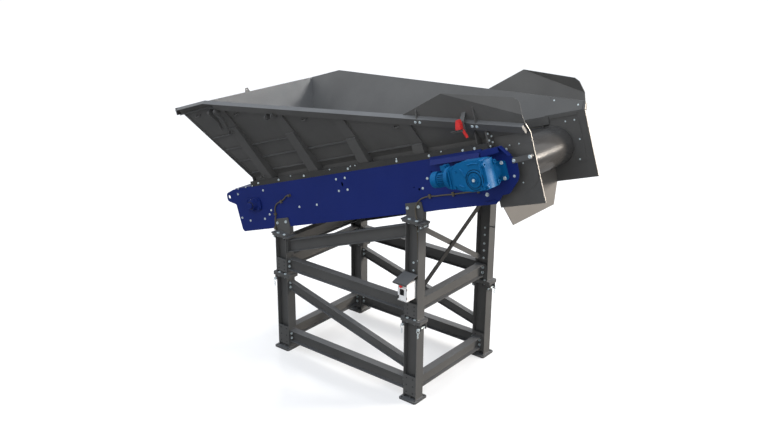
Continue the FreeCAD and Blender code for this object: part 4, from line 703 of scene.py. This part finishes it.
class FEEDER_OT_dress_bolts(bpy.types.Operator):
    """Bolts of the rim, the flanges and the splices, hooks, dark discs of painted shade in the column holes,
    and the braces, the rising ones darkened as painted shade
    """
    bl_idname = "feeder.dress_bolts"
    bl_label = "Dress bolts"

    def execute(self, context):
        gusset_feet = (-0.724, -0.676, -0.118, -0.070)
        joint_flange = ((0.632, 0.372), (0.632, 0.304), (0.632, 0.246), (0.582, 0.338), (0.582, 0.276))
        tail_flange = ((-3.837, 0.222), (-3.690, 0.226), (-3.564, 0.230))
        column_flange = (2.054, 1.717, 1.382)
        splice, far_splice = (1.658, 1.568), (1.456, 1.367, 1.272)
        # each spot as (seat, outward direction, head radius, height)
        spots = []
        for side in (-1, 1):
            for u in gusset_feet:
                spots.append((*wall_frame(u, rim_reach(u) - 0.036, 0.061, side), 0.014, 0.009))
            for y, w in joint_flange:
                spots.append((belt_point(-0.020, y * side, w), belt_rows()[0], 0.0105, 0.008))
            for u, w in tail_flange:
                spots.append((belt_point(u, side * PLATE_Y, w), (0, side, 0), 0.009, 0.006))
            for z in column_flange:
                spots.append(((1.064, side * 0.742, z), (-1, 0, 0), 0.013, 0.010))
        for z in splice:
            spots.append(((0.968, -0.699, z), (0, -1, 0), 0.0115, 0.009))
            spots.append(((0.976, 0.691, z), (0, -1, 0), 0.0115, 0.009))
        for z in far_splice:
            spots.append(((0.974, 0.691, z), (0, -1, 0), 0.0135, 0.010))
        make_piece("dress_bolts", *bolt_heads([(*spot, head_turn(spot[1])) for spot in spots]), "zinc")

        hooks = []
        for x, y, z, reach in ((1.074, 0.640, 1.715, 0.060), (1.110, -0.770, 2.165, 0.050)):
            arm = [(0, 0), (0.007, 0), (0.007, reach), (0, reach)]
            tip = [(0, -0.007), (0.007, -0.004), (0.007, 0.022), (0, 0.025)]
            hooks.append(revolve(arm, 12, (x, y, z), (1, 0, 0)))
            hooks.append(revolve(tip, 12, (x + reach, y, z), (0, 0, 1)))
        make_piece("hang_hooks", *merged(hooks), "stand_paint")

        # black discs in the splice plates' holes: painted shade where the holes are dark
        hole_shade_profile = [(0, -0.004), (0.009, -0.004), (0.009, 0.0006), (0.006, 0.0016), (0, 0.0016)]
        hole_shade_x = (-1.030, -0.940, 0.940, 1.030)
        hole_shade_z = (0.094, 0.183, 0.272, 1.073, 1.122, 1.171)
        hole_shades = [revolve(hole_shade_profile, 16, (x, side * COLUMN_FACE_Y, z), (0, side, 0))
                 for side in (-1, 1) for x in hole_shade_x for z in hole_shade_z]
        make_piece("hole_shade_discs", *merged(hole_shades), "black_plastic")

        # a rising brace climbs towards the far side; the rising braces get a darker finish, painted shade
        bars = islands("head_braces")
        for name, sign, finish in (("rising_braces_painted_shade", 1, "brace_shade"), ("falling_braces", -1, "stand_paint")):
            kept = [(q, f.tolist()) for q, f in bars if np.sign(np.cov(q[:, 1], q[:, 2])[0, 1]) == sign]
            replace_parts(make_piece(name, *merged(kept), finish, smooth=False), "head_braces")
        return {"FINISHED"}


# Welds

def bead(start, end, out, leg, pitch=0.012):
    """Rippled half-round bead: radius leg (0.88 + 0.12 |sin(pi s / pitch)|), ends drawn in."""
    start, end = np.array(start, float), np.array(end, float)
    run = end - start
    length = float(np.linalg.norm(run))
    run /= length
    out = np.array(out, float) - run * float(np.dot(out, run))
    out /= np.linalg.norm(out)
    side = np.cross(run, out)
    s = np.linspace(0, length, max(4, int(2.2 * length / pitch)))
    radius = leg * (0.88 + 0.12 * np.abs(np.sin(math.pi * s / pitch)))
    radius[0] = radius[-1] = leg * 0.3
    turn = np.linspace(-0.62, 0.62, 5) * math.pi
    section = np.cos(turn)[:, None] * out + np.sin(turn)[:, None] * side
    points = start + s[:, None, None] * run + radius[:, None, None] * section[None]
    return points.reshape(-1, 3), grid_faces(len(s), len(turn))


class FEEDER_OT_welds(bpy.types.Operator):
    """Weld beads of the columns, the ribs and the stiffeners"""
    bl_idname = "feeder.welds"
    bl_label = "Welds"

    def execute(self, context):
        leg = sizes().bead
        ahead, across, up = belt_rows()
        half_flange, half_web, half_gap = 0.062, 0.076, 0.004
        stand = []
        for x, y in ((sx * COLUMN_X, sy * COLUMN_Y) for sx in (-1, 1) for sy in (-1, 1)):
            for z, rise in ((0.020, 1), (0.970, -1), (1.010, 1)):
                for face in (-1, 1):
                    edge = x + face * 0.089
                    stand.append(bead((edge, y - half_flange, z), (edge, y + half_flange, z),
                                      (face, 0, rise), leg))
                    edge = y + face * half_gap
                    stand.append(bead((x - half_web, edge, z), (x + half_web, edge, z),
                                      (0, face, rise), leg * 0.8))
        make_piece("stand_welds", *merged(stand), "stand_paint")

        hopper = []
        for side in (-1, 1):
            for i in range(RIB_COUNT):
                for edge in (-0.0705, 0.0705):
                    u = RIB_U + i * RIB_PITCH + edge
                    low, out = wall_frame(u, 0.02, WALL_SHEET, side)
                    high, _ = wall_frame(u, rim_reach(u) - 0.088, WALL_SHEET, side)
                    hopper.append(bead(low, high, out + np.sign(edge) * ahead, leg * 0.8))
            rise = wall_frame(0, 1, 0, side)[0] - wall_frame(0, 0, 0, side)[0]
            for row, w in enumerate(STIFFENER_W):
                v = (w - WALL_FOOT_W) / math.cos(WALL_LEAN)
                for i in range(RIB_COUNT - 1 - row):
                    u = RIB_U + 0.070 + i * RIB_PITCH
                    start, out = wall_frame(u + 0.010, v, WALL_SHEET, side)
                    end, _ = wall_frame(u + 0.633, v, WALL_SHEET, side)
                    hopper.append(bead(start, end, out + rise, leg * 0.7))
        make_piece("hopper_welds", *merged(hopper), "hopper_paint")

        # a dark strip along the joint of the hopper and discharge walls: a real seam, its dark line painted
        # shade
        shade_lines = []
        for side in (-1, 1):
            middle, out = wall_frame(-0.020, 0.118, -0.0006, side)
            shade_lines.append(block(middle, (0.0022, 0.100, 0.0006), [ahead, np.cross(ahead, out), out]))
        make_piece("panel_seam_shades", *merged(shade_lines), "black_plastic", smooth=False)

        # pale strips on the discharge plates' front edges: painted highlight
        edge_highlights = []
        thin, wide, half_sheet = 0.0012, 0.0055, WALL_SHEET / 2
        reach = rim_reach(DISCHARGE_U)
        for side in (-1, 1):
            middle_w = (DISCHARGE_LOW_W + WALL_FOOT_W) / 2
            front = belt_point(DISCHARGE_U, side * (DISCHARGE_Y - half_sheet), middle_w)
            tall = (WALL_FOOT_W - DISCHARGE_LOW_W) / 2 - half_sheet
            edge_highlights.append(block(front, (thin, wide, tall), [ahead, across, up]))
            middle, out = wall_frame(DISCHARGE_U, reach / 2, half_sheet, side)
            tall = reach / 2 - half_sheet
            edge_highlights.append(block(middle, (thin, wide, tall), [ahead, out, np.cross(ahead, out)]))
        make_piece("plate_edge_highlights", *merged(edge_highlights), "plate_edge", smooth=False)
        return {"FINISHED"}


# Drive

def ridge(path, face_y, wide, high):
    """Cast rib along a (u, w) path on a face at one y.

    Its height is high (1 - (2 t)^4), with t from -1/2 to 1/2 over its width, and its ends are drawn down.
    """
    p = np.array(path, float)
    ahead = np.gradient(p, axis=0)
    ahead /= np.linalg.norm(ahead, axis=1)[:, None]
    side = np.stack([-ahead[:, 1], ahead[:, 0]], -1)
    t = np.linspace(-0.5, 0.5, 7)
    rise = high * (1 - (2 * t) ** 4)
    share = np.ones(len(p))
    share[[0, -1]] = 0.05
    flat = p[:, None] + (wide * t)[None, :, None] * side[:, None]
    y = face_y - (share[:, None] * rise[None])
    points = np.stack([flat[..., 0], y, flat[..., 1]], -1)
    return on_belt(points), grid_faces(len(p), 7)


def circle(count, radius, start=0.5):
    """Pairs (radius cos a, radius sin a) evenly round a circle, from a share of one step on."""
    a = 2 * math.pi * (np.arange(count) + start) / count
    return list(zip(radius * np.cos(a), radius * np.sin(a)))


class FEEDER_OT_drive_trim(bpy.types.Operator):
    """Cast ribs, plugs, screws and the fan grille of the drive, and the bearings' caps and seals"""
    bl_idname = "feeder.drive_trim"
    bl_label = "Drive trim"

    def execute(self, context):
        ahead, across, up = belt_rows()
        t = np.linspace(0, 1, 12)
        a = np.linspace(0.2, 2.6, 16)
        # each rib as (u, w, width, height): the first is an arc round the shaft
        ribs = [(0.088 * np.cos(a), 0.088 * np.sin(a), 0.016, 0.014),
                (-0.150 + 0.055 * t, 0.118 - 0.085 * t ** 2, 0.018, 0.014),
                (-0.060 + 0.14 * t, 0.148 + 0.010 * np.sin(3 * t), 0.014, 0.011),
                (-0.190 + 0.06 * t, -0.030 - 0.030 * t, 0.016, 0.013),
                (0.086 + 0 * t, -0.080 + 0.23 * t, 0.013, 0.012)]
        ribs = [ridge(np.stack([u, w], -1), GEARBOX_Y, wide, high) for u, w, wide, high in ribs]
        make_piece("casting_ribs", *merged(ribs), "drive_paint")

        # screws of the cover's ring, plugs of the casting, flange bolts and lid screws of the motor
        cover_plugs = ((-0.205, 0.105, 0.012), (-0.175, -0.045, 0.010), (0.070, 0.165, 0.012),
                       (0.060, -0.085, 0.010))
        screws = [(belt_point(u, GEARBOX_Y - 0.010, w), -across, 0.006, 0.004, up)
                  for u, w in circle(8, 0.060)]
        screws += [(belt_point(u, GEARBOX_Y, w), -across, r, 0.008, up) for u, w, r in cover_plugs]
        screws += [(belt_point(-0.352, MOTOR_Y + y, MOTOR_W + w), -ahead, 0.010, 0.008, up)
                   for y, w in circle(8, 0.102)]
        screws += [(belt_point(u, MOTOR_Y + y, 0.169), up, 0.005, 0.003, across)
                   for y in (-0.030, 0.042) for u in (-0.424, -0.382)]
        make_piece("drive_screws", *bolt_heads(screws), "drive_paint")
        shaft_bolt = (belt_point(0, -1.052, 0), -across, 0.0148, 0.0095, up)
        make_piece("shaft_bolt", *bolt_heads([shaft_bolt]), "zinc")

        centre = belt_point(-0.5682, MOTOR_Y, MOTOR_W)
        opening = [(0, 0), (0.064, 0), (0.064, 0.0012), (0, 0.0012)]
        make_piece("fan_opening", *revolve(opening, 36, centre, -ahead), "black_plastic")
        centre = centre - ahead * 0.002
        grille = [torus(centre, r, 0.0016, across, up, 36, 6) for r in (0.014, 0.026, 0.038, 0.050, 0.062)]
        # six bars, each of which runs in two of twelve directions
        for y, w in circle(12, 1.0, 0.0)[:6]:
            line = across * y + up * w
            grille.append(block(centre, (0.062, 0.0014, 0.0014), [line, np.cross(ahead, line), ahead]))
        make_piece("fan_grille", *merged(grille), "drive_paint")

        # three dark rings round the output shaft: painted shade for its grooves and the cover's joint
        shade_lines = [torus(belt_point(0, -1.0405, 0), 0.076, 0.0028, ahead, up, 40, 6),
                 torus(belt_point(0, -1.0525, 0), 0.030, 0.0022, ahead, up, 32, 6),
                 torus(belt_point(0, GEARBOX_Y - 0.0005, 0), 0.100, 0.004, ahead, up, 48, 6)]
        make_piece("drive_painted_shades", *merged(shade_lines), "drive_seam")

        cap = [(0.0, 0.0), (0.036, 0.0), (0.040, -0.004), (0.040, -0.024), (0.0, -0.024)]
        caps = [revolve(cap, 32, belt_point(TAIL_U, side * 0.748, 0), across * side) for side in (-1, 1)]
        make_piece("tail_caps", *merged(caps), "blue_paint")

        rings = []
        nipples = []
        nipple = [(0.0, -0.004), (0.005, -0.004), (0.005, 0.004), (0.0028, 0.006), (0.0028, 0.010),
                  (0.0038, 0.012), (0.0, 0.015)]
        bearing_y = 0.727
        for u, radius, side in ((TAIL_U, 0.052, -1), (TAIL_U, 0.052, 1), (0, 0.058, 1)):
            seal = belt_point(u, bearing_y * side, 0) + across * side * 0.001
            rings.append(torus(seal, radius - 0.006, 0.003, ahead, up, 36, 8))
            spot = belt_point(u, (bearing_y - 0.022) * side, radius + 0.006)
            nipples.append(revolve(nipple, 12, spot, up))
        make_piece("bearing_seals", *merged(rings), "black_plastic")
        make_piece("grease_nipples", *merged(nipples), "zinc")
        return {"FINISHED"}


class FEEDER_OT_box_trim(bpy.types.Operator):
    """Door, latch, hinges, glands and selector surround of the control box"""
    bl_idname = "feeder.box_trim"
    bl_label = "Control box trim"

    def execute(self, context):
        door_x, door_z, thin = 0.9905, 1.3765, 0.0006
        half_x, half_z = 0.0575, 0.075
        # plate under the knobs, seam round the door, latch, hinges and cable glands
        dark = [block((0.990, BOX_Y - 0.0045, 1.397), (0.029, thin, 0.035))]
        for x, z, hx, hz in ((door_x, door_z - half_z, half_x, thin), (door_x, door_z + half_z, half_x, thin),
                             (door_x - half_x, door_z, thin, half_z), (door_x + half_x, door_z, thin, half_z)):
            dark.append(block((x, BOX_Y - thin / 2, z), (hx, thin, hz)))
        dark.append(block((0.941, BOX_Y - 0.004, 1.333), (0.007, 0.004, 0.017)))
        hinge = [(0, 0), (0.0045, 0), (0.0045, 0.024), (0, 0.024)]
        for z in (1.325, 1.425):
            dark.append(revolve(hinge, 12, (1.0505, BOX_Y + 0.002, z), (0, 0, 1)))
        gland = [(0, 0), (0.010, 0), (0.012, -0.002), (0.012, -0.012), (0.009, -0.016), (0, -0.016)]
        for x in (0.955, 1.010):
            dark.append(revolve(gland, 16, (x, BOX_Y + 0.080, 1.2935), (0, 0, 1)))
        make_piece("box_fittings", *merged(dark), "black_plastic", smooth=False)
        screws = [((x, BOX_Y - 0.005, z), (0, -1, 0), 0.0028, 0.0015, (0, 0, 1))
                  for x in (0.966, 1.014) for z in (1.367, 1.427)]
        make_piece("box_screws", *bolt_heads(screws), "zinc")
        return {"FINISHED"}


# Studio

def lamp(name, place, target, size, watts, tint, cone=180):
    """Square area lamp at a place, turned to a target."""
    data = bpy.data.lights.new(name, "AREA")
    data.shape = "RECTANGLE"
    data.size = data.size_y = size
    data.energy = watts
    data.spread = math.radians(cone)
    data.color = tint
    obj = bpy.data.objects.new(name, data)
    bpy.context.scene.collection.objects.link(obj)
    obj.location = place
    obj.rotation_mode = "QUATERNION"
    obj.rotation_quaternion = (Vector(target) - Vector(place)).to_track_quat("-Z", "Y")


def rays(tree, *kinds):
    """1 on rays of the given kinds, such as those of the camera or of a mirror, and 0 on all others."""
    path = put(tree, "LightPath")
    found = path.outputs[kinds[0]]
    for kind in kinds[1:]:
        found = put(tree, "Math", {0: found, 1: path.outputs[kind]}, operation="MAXIMUM").outputs[0]
    return found


class FEEDER_OT_stage(bpy.types.Operator):
    """Camera, lamps, world and pale floor"""
    bl_idname = "feeder.stage"
    bl_label = "Studio"

    def execute(self, context):
        scene = context.scene
        scene.view_settings.view_transform = "Standard"
        camera = bpy.data.cameras.new("studio camera")
        camera.sensor_width = 36.0
        # the focal length is 940 pixels of a picture 768 wide
        camera.lens = camera.sensor_width * 940.0 / 768.0
        camera.clip_end = 200.0
        obj = bpy.data.objects.new("studio camera", camera)
        scene.collection.objects.link(obj)
        turn, tilt, roll = (math.radians(k) for k in (38.756, 20.085, 0.371))
        right = Vector((math.cos(turn), math.sin(turn), 0))
        ahead = Vector((-math.sin(turn) * math.cos(tilt), math.cos(turn) * math.cos(tilt), -math.sin(tilt)))
        up = right.cross(ahead)
        right, up = (right * math.cos(roll) + up * math.sin(roll),
                     up * math.cos(roll) - right * math.sin(roll))
        turned = Matrix((right, up, -ahead)).transposed().to_4x4()
        turned.translation = Vector((6.554, -8.173, 5.6))
        obj.matrix_world = turned
        scene.camera = obj

        lamp("warm side lamp", (9.0, 7.6, 4.9), (0.8, 0, 2.2), 2.6, 1500, (1.0, 0.90, 0.79))
        lamp("tail wall lamp", (1.5, 10.2, 9.6), (-2.0, 0.2, 3.0), 3.0, 120, (1.0, 0.99, 0.97), 75)
        lamp("cool top lamp", (-3.0, -2.0, 14.0), (0, 0, 1.5), 8.0, 480, (0.84, 0.92, 1.0))

        world = bpy.data.worlds.new("studio world")
        scene.world = world
        world.use_nodes = True
        tree = world.node_tree
        tree.nodes.clear()
        height = put(tree, "SeparateXYZ", {0: put(tree, "TexCoord").outputs["Generated"]}).outputs["Z"]
        sky = blend_colour(tree, ramp(tree, height, 0.0, 0.8), (1.46, 1.44, 1.40, 1), (0.80, 0.88, 1.02, 1))
        soft = put(tree, "Background", {"Color": sky, "Strength": 1.05})
        white = put(tree, "Background", {"Color": (1, 1, 1, 1), "Strength": 1.0})
        shown = rays(tree, "Is Camera Ray", "Is Glossy Ray", "Is Transmission Ray")
        mix = put(tree, "MixShader", {0: shown, 1: soft.outputs[0], 2: white.outputs[0]})
        put(tree, "OutputWorld", {"Surface": mix.outputs[0]})

        half = 40.0
        corners = [(-half, -half, 0), (half, -half, 0), (half, half, 0), (-half, half, 0)]
        mesh = bpy.data.meshes.new("studio_floor")
        mesh.from_pydata(corners, [], [(0, 1, 2, 3)])
        floor = bpy.data.objects.new("studio_floor", mesh)
        scene.collection.objects.link(floor)
        material = bpy.data.materials.new("studio floor")
        material.use_nodes = True
        tree = material.node_tree
        tree.nodes.clear()
        # the object sees a dull floor, and the camera a white one with shadows and a faint mirror
        dull = put(tree, "BsdfDiffuse", {"Color": rgba(settings().floor, 0.22)})
        matt = put(tree, "BsdfDiffuse", {"Color": rgba(settings().floor, 0.52)})
        glow = put(tree, "Emission", {"Color": (1, 1, 1, 1), "Strength": 0.60})
        both = put(tree, "AddShader", {0: matt.outputs[0], 1: glow.outputs[0]})
        gloss = put(tree, "BsdfGlossy", {"Color": (1, 1, 1, 1), "Roughness": 0.16})
        shown = put(tree, "MixShader", {0: 0.06, 1: both.outputs[0], 2: gloss.outputs[0]})
        seen = rays(tree, "Is Camera Ray", "Is Transmission Ray")
        mix = put(tree, "MixShader", {0: seen, 1: dull.outputs[0], 2: shown.outputs[0]})
        put(tree, "OutputMaterial", {"Surface": mix.outputs[0]})
        mesh.materials.append(material)
        return {"FINISHED"}


class FEEDER_PT_panel(bpy.types.Panel):
    """Sizes, colours and the steps that make the feeder"""
    bl_label = "Bulk Material Feeder"
    bl_idname = "FEEDER_PT_panel"
    bl_space_type = "VIEW_3D"
    bl_region_type = "UI"
    bl_category = "Feeder"

    def draw(self, context):
        layout = self.layout
        for group in (context.scene.feeder_sizes, context.scene.feeder_colours):
            box = layout.box()
            for key in group.__annotations__:
                box.prop(group, key)
        for step in STEPS:
            layout.operator(step.bl_idname)


STEPS = (FEEDER_OT_stage, FEEDER_OT_finishes, FEEDER_OT_cables, FEEDER_OT_fasteners,
         FEEDER_OT_dress_bolts, FEEDER_OT_welds, FEEDER_OT_drive_trim, FEEDER_OT_box_trim)
CLASSES = (FeederSizes, FeederColours) + STEPS + (FEEDER_PT_panel,)


def register():
    for kind in CLASSES:
        bpy.utils.register_class(kind)
    bpy.types.Scene.feeder_sizes = bpy.props.PointerProperty(type=FeederSizes)
    bpy.types.Scene.feeder_colours = bpy.props.PointerProperty(type=FeederColours)


def unregister():
    del bpy.types.Scene.feeder_colours
    del bpy.types.Scene.feeder_sizes
    for kind in reversed(CLASSES):
        bpy.utils.unregister_class(kind)


def main():
    """Run every step in order."""
    register()
    for step in STEPS:
        group, name = step.bl_idname.split(".")
        getattr(getattr(bpy.ops, group), name)()


if __name__ == "__main__":
    main()
